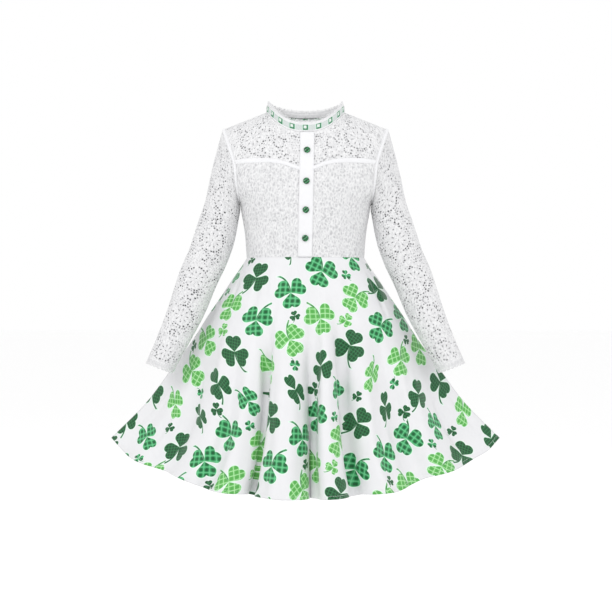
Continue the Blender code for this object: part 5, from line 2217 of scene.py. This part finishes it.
@dataclass(frozen=True)
class Neck:
    """The standing ribbon band and the looped edging along its top."""

    form: BodiceForm
    cloths: Cloths
    height: float = 0.0150
    lean: float = 0.22
    tuck: float = 0.0006
    wall: float = 0.0009
    quarter_points: int = 70
    out_of_edge: float = 0.0008
    lift: float = 0.0002
    stand_off: float = 0.0003
    roundness: float = 0.0004
    stitch_pitch: float = 0.0028
    stitch_lift: float = 0.0001
    frill_height: float = 0.0032
    heading: float = 0.0084
    loop_height: float = 0.0058
    loop_pitch: float = 0.0028
    loop_radius: float = 0.00042
    loop_half_width: float = 0.00085
    loop_tilt: float = 0.28
    loop_nod: float = 0.22
    foot_points: int = 541
    foot_wall: float = 0.0005
    foot_waves: tuple[tuple[float, float], ...] = ((0.0006, 0.0098), (0.0002, 0.0041))

    def path(self) -> tuple[Array, Array, Array]:
        """The neckline from centre back over the left side and the front to centre back.

        Returns:
            Its points, and the directions along it and out of the bodice's edge.
        """
        neck = np.linspace(0, self.form.neck_share, self.quarter_points)
        pieces = [(neck[:-1], True), (neck[::-1], False), (-neck[1:], False), (-neck[-2::-1], True)]
        made = [self.form.grid(columns, np.array([3.0]), behind) for columns, behind in pieces]
        points = np.concatenate([points[:, 0] for points, _ in made])
        normals = np.concatenate([normals[:, 0] for _, normals in made])
        points[0, 0], points[-1, 0] = SEAM_GAP / 2, -SEAM_GAP / 2
        along = unit(np.gradient(points, axis=0))
        kernel = np.hanning(17)[1:-1]
        padded = np.pad(normals, ((7, 7), (0, 0)), "edge")
        normals = np.stack([np.convolve(padded[:, k], kernel, "valid") for k in range(3)], axis=-1)
        return points, along, unit(np.cross(along, unit(normals)))

    def build(self) -> None:
        """Makes the band, the gathered foot of the edging and its loops."""
        points, along, edge_out = self.path()
        rise = unit(UP * (1 - self.lean) + edge_out * self.lean)
        outwards = unit(np.cross(rise, along))
        share = np.linspace(-self.tuck / self.height, 1, 14)
        low = points + edge_out * self.out_of_edge + UP * self.lift
        rounding = self.roundness * np.cos(np.clip(share * 2 - 1, -1, 1) * math.pi / 2)
        grid = low[:, None] + rise[:, None] * (share * self.height)[None, :, None]
        grid = grid + outwards[:, None] * (rounding + self.stand_off)[None, :, None]
        facing = np.repeat(outwards[:, None], len(share), axis=1)
        walked = lengths_along(grid, 0)
        u = walked - walked[len(points) // 2]
        v = np.broadcast_to((share - 0.5) * self.height, u.shape)
        maps = {"cloth": np.stack([u, v], axis=-1)}
        band = cloth_piece("neck_band", grid, facing, self.cloths.ribbon, self.wall, maps)
        for name, row in (("top", -2), ("bottom", 2)):
            line, pitch = grid[:, row] + outwards * self.stitch_lift, self.stitch_pitch
            title = f"neck_band_stitches_{name}"
            sew(title, line, outwards, self.cloths.thread, pitch)
        declare_sheet(grid)
        self.edging(grid[:, -1], rise, outwards)

    def edging(self, top: Array, rise: Array, outwards: Array) -> None:
        """A low waved foot and a row of standing loops, each an open oval of thread.

        Args:
            top: points along the band's top.
            rise: directions up the band there.
            outwards: directions off the band there.
        """
        walked = lengths_along(top, 0)
        at = np.linspace(0, walked[-1], self.foot_points)
        base = read_off(top, walked, at)
        up, out = (unit(read_off(ways, walked, at)) for ways in (rise, outwards))
        wave = sum(out_by * np.sin(2 * math.pi * at / length) for out_by, length in self.foot_waves)
        height = np.linspace(-self.heading, self.frill_height, 9)
        within = smooth(-height, -0.0004, 0.0012)
        foot = base[:, None] + up[:, None] * height[None, :, None]
        inwards = between(self.lift, self.wall + self.stand_off, within)
        stray = wave[:, None] * np.clip(height / self.frill_height, 0, 1)
        foot = foot + out[:, None] * (stray - inwards)[..., None]
        facing = np.repeat(out[:, None], len(height), axis=1)
        cloth = np.stack(np.meshgrid(at, height, indexing="ij"), axis=-1)
        surface = grid_surface(foot, facing, {"cloth": cloth})
        piece = new_piece("neck_frill_foot", surface, [self.cloths.picot])
        thicken(piece, self.foot_wall)
        starts = np.arange(self.loop_pitch / 2, walked[-1], self.loop_pitch)
        place = read_off(foot[:, -2], at, starts)
        loop_up, loop_out = (unit(read_off(ways, at, starts)) for ways in (up, out))
        loop_side = np.cross(loop_up, loop_out)
        order = np.arange(len(starts), dtype=float)
        tall = self.loop_height * between(0.72, 1.0, scatter(order, order, 1))
        tilt = self.loop_tilt * (2 * scatter(order, order, 2) - 1)
        nod = self.loop_nod * (2 * scatter(order, order, 3) - 1)
        loop_up = unit(loop_up + loop_side * tilt[:, None] + loop_out * nod[:, None])
        angle = np.linspace(-0.42 * math.pi, 1.42 * math.pi, 13)
        ring = -np.arange(5) / 5 * 2 * math.pi
        radius = self.loop_radius
        along = np.cos(angle)[:, None] * (self.loop_half_width + radius * np.cos(ring))
        height = 0.5 + np.sin(angle)[:, None] * (0.5 + radius / self.loop_height * np.cos(ring))
        through = np.broadcast_to(radius * np.sin(ring), along.shape)
        shape = np.stack([along, height, through], axis=-1).reshape(-1, 3)
        axes = np.stack([loop_side, loop_up * tall[:, None], loop_out], axis=1)
        surface = repeat_shape(shape, rod_faces(len(angle), len(ring)), place, axes)
        loops = new_piece("neck_frill_loops", surface, [self.cloths.picot], ["neck_frill"])
        declare_sheet(foot)


SLEEVE_SPOTS = table(
    Spot,
    (0.215, -0.206, 0.0032, 5, 0.2), (0.275, -0.213, 0.003, 5, 0.2), (0.24, -0.214, 0.0034, 5, 0.2),
    (0.22, -0.288, 0.0032, 5, 0.2), (0.26, -0.283, 0.0034, 5, 0.2), (0.215, -0.354, 0.0032, 5, 0.2),
    (0.285, -0.361, 0.0032, 5, 0.2), (0.246, -0.358, 0.0034, 5, 0.2), (0.23, -0.428, 0.0032, 5, 0.2),
    (0.275, -0.424, 0.0032, 5, 0.2), (0.33, -0.098, 0.0165, 9, 0.2), (0.25, -0.172, 0.02, 9, 0.2),
    (0.25, -0.249, 0.02, 9, 0.2), (0.255, -0.322, 0.0195, 9, 0.2), (0.26, -0.392, 0.018, 8, 0.22),
    (0.26, -0.458, 0.016, 8, 0.22), (0.69, -0.09, 0.0165, 8, 0.22), (0.75, -0.166, 0.019, 9, 0.22),
    (0.75, -0.243, 0.0195, 9, 0.2), (0.745, -0.316, 0.0185, 8, 0.22), (0.74, -0.386, 0.017, 8, 0.22),
    (0.74, -0.45, 0.015, 8, 0.22), (0.5, -0.128, 0.0095, 6, 0.34), (0.5, -0.206, 0.0095, 6, 0.34),
    (0.5, -0.282, 0.009, 6, 0.34), (0.5, -0.352, 0.0085, 6, 0.34), (0.5, -0.424, 0.008, 6, 0.34),
)


@dataclass(frozen=True)
class Sleeves:
    """The lace sleeves, the bindings round the armholes and the scalloped cuffs."""

    form: SleeveForm
    bodice: BodiceForm
    cloths: Cloths
    design: LaceDesign = LaceDesign()
    columns: int = 172
    rows: int = 282
    wall: float = 0.0010
    binding_fill: float = 0.8
    binding_stitch_pitch: float = 0.0036
    scallops: int = 20
    scallop_points: int = 12
    scallop_depth: float = 0.0022
    cuff_lap: float = 0.001
    cuff_stand: float = 0.0004
    cuff_cords: tuple[tuple[float, float], ...] = ((0.93, 0.0005), (0.12, 0.0003))
    cuff_cord_width: float = 0.05
    cuff_stitch_pitch: float = 0.0030

    def lace(self, name: str, side: int) -> None:
        """One sleeve, its gaps cut and its flowers raised.

        Args:
            name: left or right.
            side: 1 for the left, -1 for the right.
        """
        points, turn = self.form.grid(self.bodice, self.columns, self.rows)
        normals = tube_normals(points)
        walked = lengths_along(points, 0)
        u = (walked - 0.5 * walked[-1:]) * side
        v = lengths_along(points, 1)
        v = v - v[:, -1:]
        edge = np.minimum(np.minimum(walked, walked[-1:] - walked), np.minimum(-v, v - v[:, :1]))
        flowers = []
        for number, spot in enumerate(SLEEVE_SPOTS):
            column = int(np.argmin(np.abs(turn - spot.x)))
            at = (column, int(np.argmin(np.abs(points[column, :, 2] - spot.z))))
            place = (float(u[at]), float(v[at]))
            flowers.append(Flower(*place, spot.radius, spot.petals, 0.9 * number, spot.notch))
        points, normals = mirrored(side, points, normals)
        sheet = LaceSheet(
            points, normals, u, v, self.design.border - edge, np.ones_like(u), flowers, around=True
        )
        node, surface = f"sleeve_{name}", sheet.work(self.design)
        piece = new_piece(f"{node}_cloth", surface, [self.cloths.sleeve_lace], [node])
        declare_sheet(points)

    def binding(self, name: str, side: int) -> None:
        """The padded binding, an oval carried round the armhole, and its stitches.

        Args:
            name: left or right.
            side: 1 for the left, -1 for the right.
        """
        rings, facing = self.form.binding(self.bodice, 16)
        rings, facing = mirrored(side, rings, facing)
        surface = hoop_surface(rings, facing, {"cloth": walked_map(rings)})
        node = f"armhole_binding_{name}"
        piece = new_piece(f"{node}_cloth", surface, [self.cloths.cotton], [node])
        thread, pitch = self.cloths.thread, self.binding_stitch_pitch
        sew(f"armhole_stitches_{name}", rings[:, -3], facing[:, -3], thread, pitch)

    def cuff(self, name: str, side: int) -> None:
        """The cuff: a plain band whose lower edge runs in small scallops.

        Args:
            name: left or right.
            side: 1 for the left, -1 for the right.
        """
        columns = self.scallop_points * self.scallops
        turn = np.linspace(0, 1, columns + 1)
        length = self.form.stations[-1]
        low = self.form.ring(length, turn)
        high = self.form.ring(length - self.form.cuff_depth - self.cuff_lap, turn)
        fall = unit(low - high)
        wave = np.abs(np.cos(math.pi * self.scallops * turn))
        low = low - fall * (self.scallop_depth * (1 - wave**0.8))[:, None]
        share = np.linspace(0, 1, 12)
        grid = between(high[:, None], low[:, None], share[None, :, None])
        normals = tube_normals(grid)
        cord = sum(rise * bell(share, place, self.cuff_cord_width) for place, rise in self.cuff_cords)
        grid = grid + normals * (self.cuff_stand + cord)[None, :, None]
        grid, normals = mirrored(side, grid, normals)
        cloth = walked_map(grid)
        # Painted shade: the band's middle gets a lower relief value than its edges, which the lace material
        # paints greyer; the cloth there is not lowered.
        high = between(0.5, 0.8, smooth(np.abs(share - 0.5), 0.1, 0.45))
        relief = np.broadcast_to(np.stack([high, np.zeros_like(high)], axis=-1), cloth.shape)
        maps = {"cloth": cloth, "relief": relief, "backed": np.zeros_like(cloth)}
        lace, thread = self.cloths.sleeve_lace, self.cloths.thread
        piece = cloth_piece(f"cuff_{name}", grid, normals, lace, self.wall, maps, around=True)
        pitch = self.cuff_stitch_pitch
        row = sew(f"cuff_stitches_{name}", grid[:, 3], normals[:, 3], thread, pitch)
        declare_sheet(grid)

    def build(self) -> None:
        """Makes both sleeves with their bindings and cuffs."""
        for name, side in SIDES:
            self.lace(name, side)
            self.binding(name, side)
            self.cuff(name, side)


class Clover(NamedTuple):
    """A clover in the print's repeat: its place, its turn in degrees, its leaf length, its
    colouring, how narrow it is seen, and which way its stem bends."""

    across: float
    along: float
    turn: float
    leaf: float
    ink: PrintInk
    narrow: float
    bend: int


DARK, EMERALD, LIGHT = PrintInk.DARK_PLAID, PrintInk.EMERALD_CHECK, PrintInk.LIGHT_PLAID
REPEAT = (0.248, 0.276)
LEAF_SIZE = 1.06
CLOVERS = table(
    Clover,
    (0.03, 0.042, 168, 0.0292, EMERALD, 1.0, 1), (0.034, 0.136, 15, 0.0285, DARK, 0.86, -1),
    (0.028, 0.226, 195, 0.0287, LIGHT, 1.0, 1), (0.095, 0.002, 150, 0.0285, LIGHT, 0.92, -1),
    (0.09, 0.09, 200, 0.0282, EMERALD, 0.72, 1), (0.096, 0.182, -12, 0.029, DARK, 1.0, 1),
    (0.152, 0.046, -25, 0.0285, DARK, 0.95, -1), (0.158, 0.138, 172, 0.0285, LIGHT, 0.66, 1),
    (0.154, 0.232, 160, 0.0294, EMERALD, 1.0, -1), (0.22, 0.0, 186, 0.029, EMERALD, 0.96, 1),
    (0.214, 0.092, 24, 0.0278, DARK, 0.58, -1), (0.218, 0.184, 205, 0.029, LIGHT, 1.0, -1),
    (0.078, 0.046, 20, 0.0092, EMERALD, 1.0, 1), (0.138, 0.094, -15, 0.0094, DARK, 1.0, -1),
    (0.221, 0.137, 175, 0.01, EMERALD, 0.95, 1), (0.08, 0.23, -30, 0.0132, LIGHT, 0.95, -1),
    (0.014, 0.092, -10, 0.0124, DARK, 1.0, 1), (0.228, 0.23, 14, 0.0094, DARK, 1.0, -1),
)

FRONT_CREASES = table(
    Crease,
    (-0.058, -0.36, -0.0965, -0.718, 0.013, 0.01, True),
    (0.011, -0.33, 0.0135, -0.723, 0.015, 0.011, True),
    (0.054, -0.35, 0.088, -0.716, 0.0125, 0.009, True),
    (-0.046, -0.42, -0.06, -0.72, 0.013, -0.003, True), (0.04, -0.46, 0.046, -0.72, 0.011, -0.003, True),
    (-0.126, -0.48, -0.182, -0.702, 0.018, 0.0065, True),
    (0.132, -0.48, 0.17, -0.706, 0.017, 0.0065, True), (-0.246, -0.552, -0.294, -0.646, 0.007, 0.004),
    (-0.262, -0.54, -0.33, -0.622, 0.005, -0.0026), (0.246, -0.552, 0.296, -0.646, 0.0075, 0.0042),
    (0.266, -0.542, 0.334, -0.626, 0.0055, -0.0028), (-0.1206, -0.3146, -0.155, -0.4014, 0.006, 0.0026),
    (0.118, -0.31, 0.158, -0.406, 0.0065, 0.0028), (-0.082, -0.3, -0.106, -0.42, 0.008, 0.0016),
    (-0.06, -0.292, -0.066, -0.372, 0.006, -0.0012), (-0.022, -0.29, -0.03, -0.4, 0.0075, 0.0016),
    (0.03, -0.292, 0.036, -0.384, 0.007, -0.0014), (0.072, -0.296, 0.086, -0.416, 0.0085, 0.0018),
    (-0.196, -0.47, -0.232, -0.64, 0.009, 0.0028), (0.186, -0.452, 0.226, -0.63, 0.01, 0.003),
    (-0.136, -0.4, -0.176, -0.56, 0.008, -0.002), (0.14, -0.42, 0.168, -0.548, 0.008, -0.0018),
    (-0.3, -0.59, -0.27, -0.668, 0.006, 0.0024), (0.304, -0.594, 0.276, -0.672, 0.006, 0.0026),
)

BACK_CREASES = table(
    Crease,
    (-0.244, -0.548, -0.29, -0.64, 0.008, 0.0038), (0.25, -0.556, 0.3, -0.648, 0.007, 0.004),
    (-0.268, -0.548, -0.338, -0.628, 0.0055, -0.0026), (0.262, -0.538, 0.326, -0.618, 0.0055, -0.0024),
    (-0.118, -0.312, -0.15, -0.396, 0.0065, 0.0026), (0.122, -0.316, 0.152, -0.4, 0.006, 0.0024),
    (-0.07, -0.296, -0.086, -0.404, 0.008, 0.0018), (0.062, -0.294, 0.08, -0.41, 0.0085, 0.0017),
    (-0.03, -0.3, -0.034, -0.38, 0.0065, -0.0012), (0.028, -0.298, 0.036, -0.376, 0.0065, -0.0013),
    (-0.19, -0.46, -0.222, -0.62, 0.0095, 0.0028), (0.194, -0.466, 0.232, -0.636, 0.0095, 0.003),
)


@dataclass(frozen=True)
class Skirt:
    """The three printed panels with their narrow turned hem."""

    form: SkirtForm
    cloths: Cloths
    wall: float = 0.0008
    surface_offset: float = 0.0004
    cut_radius: float = 0.208
    hem_depth: float = 0.0085
    columns: int = 225
    rows: int = 110
    hem_rows: int = 16
    hem_rise: float = 0.0003
    stitch_rise: float = 0.0012
    stitch_pitch: float = 0.0034
    groove: float = 0.0002
    groove_width: float = 0.0008
    pucker: float = 0.00035
    pucker_pitch: float = 0.017
    pucker_place: float = 0.007
    pucker_reach: float = 0.006
    tuck_rise: float = 0.0022
    tuck_in: float = 0.0012

    def flatten(self, points: Array, middle: int) -> Array:
        """The panel laid flat, as the sector of a ring that a flared panel is cut to.

        The radius is the cut's inner radius plus the distance walked down the middle line,
        and the angle is the distance walked across divided by that radius.

        Args:
            points: the panel's points [column, row].
            middle: the middle line's column.

        Returns:
            The points in the flat cloth.
        """
        walked = lengths_along(points, 0)
        across = walked - walked[middle]
        radius = self.cut_radius + lengths_along(points, 1)[middle]
        angle = across / radius
        return np.stack([radius * np.sin(angle), -radius * np.cos(angle)], axis=-1)

    def clover_maps(self, flat: Array) -> dict[str, Array]:
        """The print's two maps, by corner.

        Every face belongs to the clover whose disc or stem lies nearest to its middle. Its
        corners hold their place in that clover's own frame, in leaf lengths, and the
        clover's colouring and leaf length.

        Args:
            flat: the panel's grid of points in the flat cloth.

        Returns:
            The clover and clover_kind maps, one pair of values for each corner.
        """
        corners = cell_corners(flat).reshape(-1, 4, 2)
        low, high = flat.min(axis=(0, 1)) / REPEAT, flat.max(axis=(0, 1)) / REPEAT
        repeats = [range(math.floor(low[k]) - 1, math.ceil(high[k]) + 1) for k in (0, 1)]
        printed = np.array([
            (c.across, c.along, math.radians(c.turn), LEAF_SIZE * c.leaf, c.ink.value, c.narrow, c.bend)
            for c in CLOVERS
        ])
        shifts = [(i * REPEAT[0], j * REPEAT[1]) for i in repeats[0] for j in repeats[1]]
        moves = np.pad(np.array(shifts), ((0, 0), (0, printed.shape[1] - 2)))
        clovers = (printed + moves[:, None]).reshape(-1, 7)
        middle = corners.mean(axis=1)
        best = np.full(len(middle), 1.0)
        owner = np.zeros(len(middle), int)
        for number, (x, y, turn, leaf, _, _, bend) in enumerate(clovers):
            away = middle - (x, y)
            disc = np.hypot(away[:, 0], away[:, 1]) - 1.02 * leaf
            lean = turn + bend * 0.18
            way = np.array([math.sin(lean), -math.cos(lean)])
            along = np.clip(away @ way, 0, 1.28 * leaf)
            stem = np.linalg.norm(away - along[:, None] * way, axis=1) - 0.2 * leaf
            near = np.minimum(disc, stem)
            owner[near < best] = number
            best = np.minimum(best, near)
        x, y, turn, leaf, ink, narrow, bend = clovers[owner].T[..., None]
        away_x, away_y = corners[..., 0] - x, corners[..., 1] - y
        own_x = (away_x * np.cos(turn) + away_y * np.sin(turn)) / leaf / narrow * bend
        own_y = (away_y * np.cos(turn) - away_x * np.sin(turn)) / leaf
        kind = np.broadcast_to(np.stack([ink, leaf], axis=-1), (*own_x.shape, 2))
        return {"clover": np.stack([own_x, own_y], axis=-1), "clover_kind": kind}

    def panel(self, name: str, columns: Array, behind: bool, creases: Sequence[Crease]) -> None:
        """One panel: creased, printed, with its top edge turned in behind the bodice.

        Args:
            name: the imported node's name.
            columns: places across.
            behind: on the back.
            creases: the creases pressed into it.
        """
        upper = np.linspace(0, 0.9, self.rows - self.hem_rows, endpoint=False)
        shares = np.concatenate([upper, np.linspace(0.9, 1.0, self.hem_rows)])
        points, normals = self.form.grid(columns, shares, behind, self.surface_offset)
        middle = int(np.argmin(np.abs(columns)))
        if columns[0] >= 0:
            points[0, :, 0] = np.maximum(points[0, :, 0], SEAM_GAP / 4)
        flat = self.flatten(points, middle)
        depth = crease_depth(points, flat, creases)
        depth *= smooth(shares, 0.0, 0.06) * smooth(1 - np.abs(columns), 0.0, 0.03)[:, None]
        from_hem = (1 - shares) * (lengths_along(points, 1)[middle, -1])
        stitched = self.hem_depth - self.stitch_rise
        hem = self.hem_rise * smooth(-from_hem, -self.hem_depth, -stitched)
        groove = self.groove * bell(from_hem, stitched, self.groove_width)
        waves = self.pucker * np.sin(lengths_along(points, 0) * 2 * math.pi / self.pucker_pitch)
        pucker = waves * bell(from_hem, self.pucker_place, self.pucker_reach)
        points = points + normals * (hem - groove + pucker - depth)[..., None]
        tuck = points[:, :1] + UP * self.tuck_rise - normals[:, :1] * self.tuck_in
        full = np.concatenate([tuck, points], axis=1)
        full_normals = np.concatenate([normals[:, :1], normals], axis=1)
        full_flat = np.concatenate([flat[:, :1] + (0, self.tuck_rise), flat], axis=1)
        surface = grid_surface(full, full_normals, {})
        order = slice(None) if facing_outwards(full, full_normals) else slice(None, None, -1)
        maps = {"cloth": cell_corners(full_flat).reshape(-1, 4, 2), **self.clover_maps(full_flat)}
        surface.maps = {title: pairs[:, order].reshape(-1, 2) for title, pairs in maps.items()}
        cloths = [self.cloths.printed, self.cloths.printed_reverse]
        piece = new_piece(f"{name}_cloth", surface, cloths, [name])
        thicken(piece, self.wall, 1)
        place, thread = int(np.argmin(np.abs(from_hem - stitched))), self.cloths.thread
        path, off, pitch = points[:, place], normals[:, place], self.stitch_pitch
        row = sew(f"{name}_hem_stitches", path, off, thread, pitch)
        declare_sheet(full)

    def build(self) -> None:
        """Makes the front panel and the two back panels."""
        whole = np.linspace(-1, 1, self.columns)
        middle = self.columns // 2
        self.panel("skirt_front", whole, False, FRONT_CREASES)
        self.panel("skirt_back_left", whole[middle:], True, BACK_CREASES)
        self.panel("skirt_back_right", whole[: middle + 1], True, BACK_CREASES)


@dataclass(frozen=True)
class BackZip:
    """The concealed zip: its tape and coil inside the seam, and its slider and pull."""

    form: BodiceForm
    skirt: SkirtForm
    cloths: Cloths
    half_width: float = 0.0100
    depth: float = 0.0030
    below_waist: float = 0.25
    wall: float = 0.0007
    first_tooth: float = 0.004
    last_tooth: float = 0.006
    tooth_pitch: float = 0.0016
    tooth_rise: float = 0.0004
    tooth_swing: float = 0.0006
    tooth_size: tuple[float, float, float] = (0.0042, 0.0006, 0.00055)

    def build(self) -> None:
        """Makes the tape and the coil's teeth, and finishes the slider and the pull."""
        top = self.form.surface(np.zeros(1), np.array([3.0]), True)[0, 2]
        z_line = np.linspace(top, self.form.waist, 70)
        across, z = np.meshgrid(np.linspace(-1, 1, 15) * self.half_width, z_line, indexing="ij")
        upper, upper_normals = self.form.strip(across, z, True, -self.depth)
        share = np.linspace(0, self.below_waist, 24)[1:]
        columns = np.arcsin(across[:, 0] / self.form.torso[0].half_width) * 2 / math.pi
        lower, lower_normals = self.skirt.grid(columns, share, True, -self.depth - 0.0006)
        lower[..., 0] = across[:, :1]
        points = np.concatenate([upper, lower], axis=1)
        normals = np.concatenate([upper_normals, lower_normals], axis=1)
        tape = cloth_piece("zip_tape", points, normals, self.cloths.tape, self.wall)
        centre, facing = points[7], -normals[7]
        walked = lengths_along(centre, 0)
        at = np.arange(self.first_tooth, walked[-1] - self.last_tooth, self.tooth_pitch)
        place, off = read_off(centre, walked, at), unit(read_off(facing, walked, at))
        sideways = np.broadcast_to(np.array([1.0, 0.0, 0.0]), off.shape)
        swing = self.tooth_swing * (-1.0) ** np.arange(len(at))
        width, height, length = self.tooth_size
        axes = np.stack([sideways * width, off * height, np.cross(sideways, off) * length], axis=1)
        shape, faces = stitch_shape()
        places = place + off * (self.wall + self.tooth_rise) + sideways * swing[:, None]
        coil = repeat_shape(shape, faces, places, axes)
        teeth = new_piece("zip_coil", coil, [self.cloths.lacquer])
        declare_sheet(points)
        for name in ("zip_slider", "zip_pull"):
            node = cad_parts[name]
            node.data.materials.clear()
            node.data.materials.append(self.cloths.lacquer)


class Lamp(NamedTuple):
    """A large soft light: its name, its place, its power in watts and its side's length."""

    name: str
    place: tuple[float, float, float]
    power: float
    size: float


@dataclass(frozen=True)
class Studio:
    """The pale floor, the soft lights and the camera at the photograph's angle."""

    camera_place: tuple[float, float, float] = (0.001, -3.2, -0.3744)
    lens: float = 97.5
    sensor: float = 36.0
    floor_height: float = -1.02
    floor_half: float = 40.0
    aim: tuple[float, float, float] = (0.0, 0.0, -0.35)
    lamps: tuple[Lamp, ...] = table(
        Lamp,
        ("key light", (-2.2, -2.8, 1.5), 28.0, 1.5),
        ("fill light", (2.2, -2.8, 1.3), 21.0, 1.7),
        ("back light", (0.8, 3.0, 1.8), 14.0, 2.0),
    )

    def floor(self) -> None:
        """A wide plain floor with a slight grain."""
        ends, height = (-self.floor_half, self.floor_half), self.floor_height
        corners = [(ends[x], ends[y], height) for x, y in ((0, 0), (1, 0), (1, 1), (0, 1))]
        mesh = bpy.data.meshes.new("floor")
        mesh.from_pydata(corners, [], [(0, 1, 2, 3)])
        finish = PlainFinish("pale studio floor", (0.99, 0.99, 0.99), 0.95, 0.0, 90.0, 0.0, 0.01)
        mesh.materials.append(finish.material())
        self.place_object("floor", mesh)

    def place_object(self, name: str, data: bpy.types.ID) -> bpy.types.Object:
        """A new object in the scene with this data."""
        made = bpy.data.objects.new(name, data)
        bpy.context.scene.collection.objects.link(made)
        return made

    def light(self, lamp: Lamp) -> None:
        """A large soft light aimed at the dress.

        Args:
            lamp: the light to make.
        """
        data = bpy.data.lights.new(lamp.name, "AREA")
        data.energy, data.size = lamp.power, lamp.size
        made = self.place_object(lamp.name, data)
        made.location = lamp.place
        towards = Vector(self.aim) - Vector(lamp.place)
        made.rotation_euler = towards.to_track_quat("-Z", "Y").to_euler()

    def build(self) -> None:
        """Makes the floor, the lights, the pale surroundings and the camera."""
        self.floor()
        for lamp in self.lamps:
            self.light(lamp)
        world = bpy.data.worlds.new("pale surroundings")
        world.use_nodes = True
        sky = Nodes(world.node_tree)
        sky.fill(world.node_tree.nodes["Background"], {"Color": (1.0, 1.0, 1.0), "Strength": 1.0})
        bpy.context.scene.world = world
        bpy.context.scene.view_settings.view_transform = "Standard"
        data = bpy.data.cameras.new("camera")
        data.lens, data.sensor_width = self.lens, self.sensor
        made = self.place_object("camera", data)
        made.location = self.camera_place
        made.rotation_euler = (math.pi / 2, 0.0, 0.0)
        bpy.context.scene.camera = made


def main() -> None:
    """Builds the dress piece by piece, then the studio."""
    logging.basicConfig(level=logging.INFO, format="%(message)s")
    cloths = make_cloths()
    bodice, skirt = BodiceForm(), SkirtForm()
    Bodice(bodice, cloths).build()
    FrontBand(bodice, cloths).build()
    Neck(bodice, cloths).build()
    Sleeves(SleeveForm(), bodice, cloths).build()
    Skirt(skirt, cloths).build()
    BackZip(bodice, skirt, cloths).build()
    Studio().build()


if __name__ == "__main__":
    main()
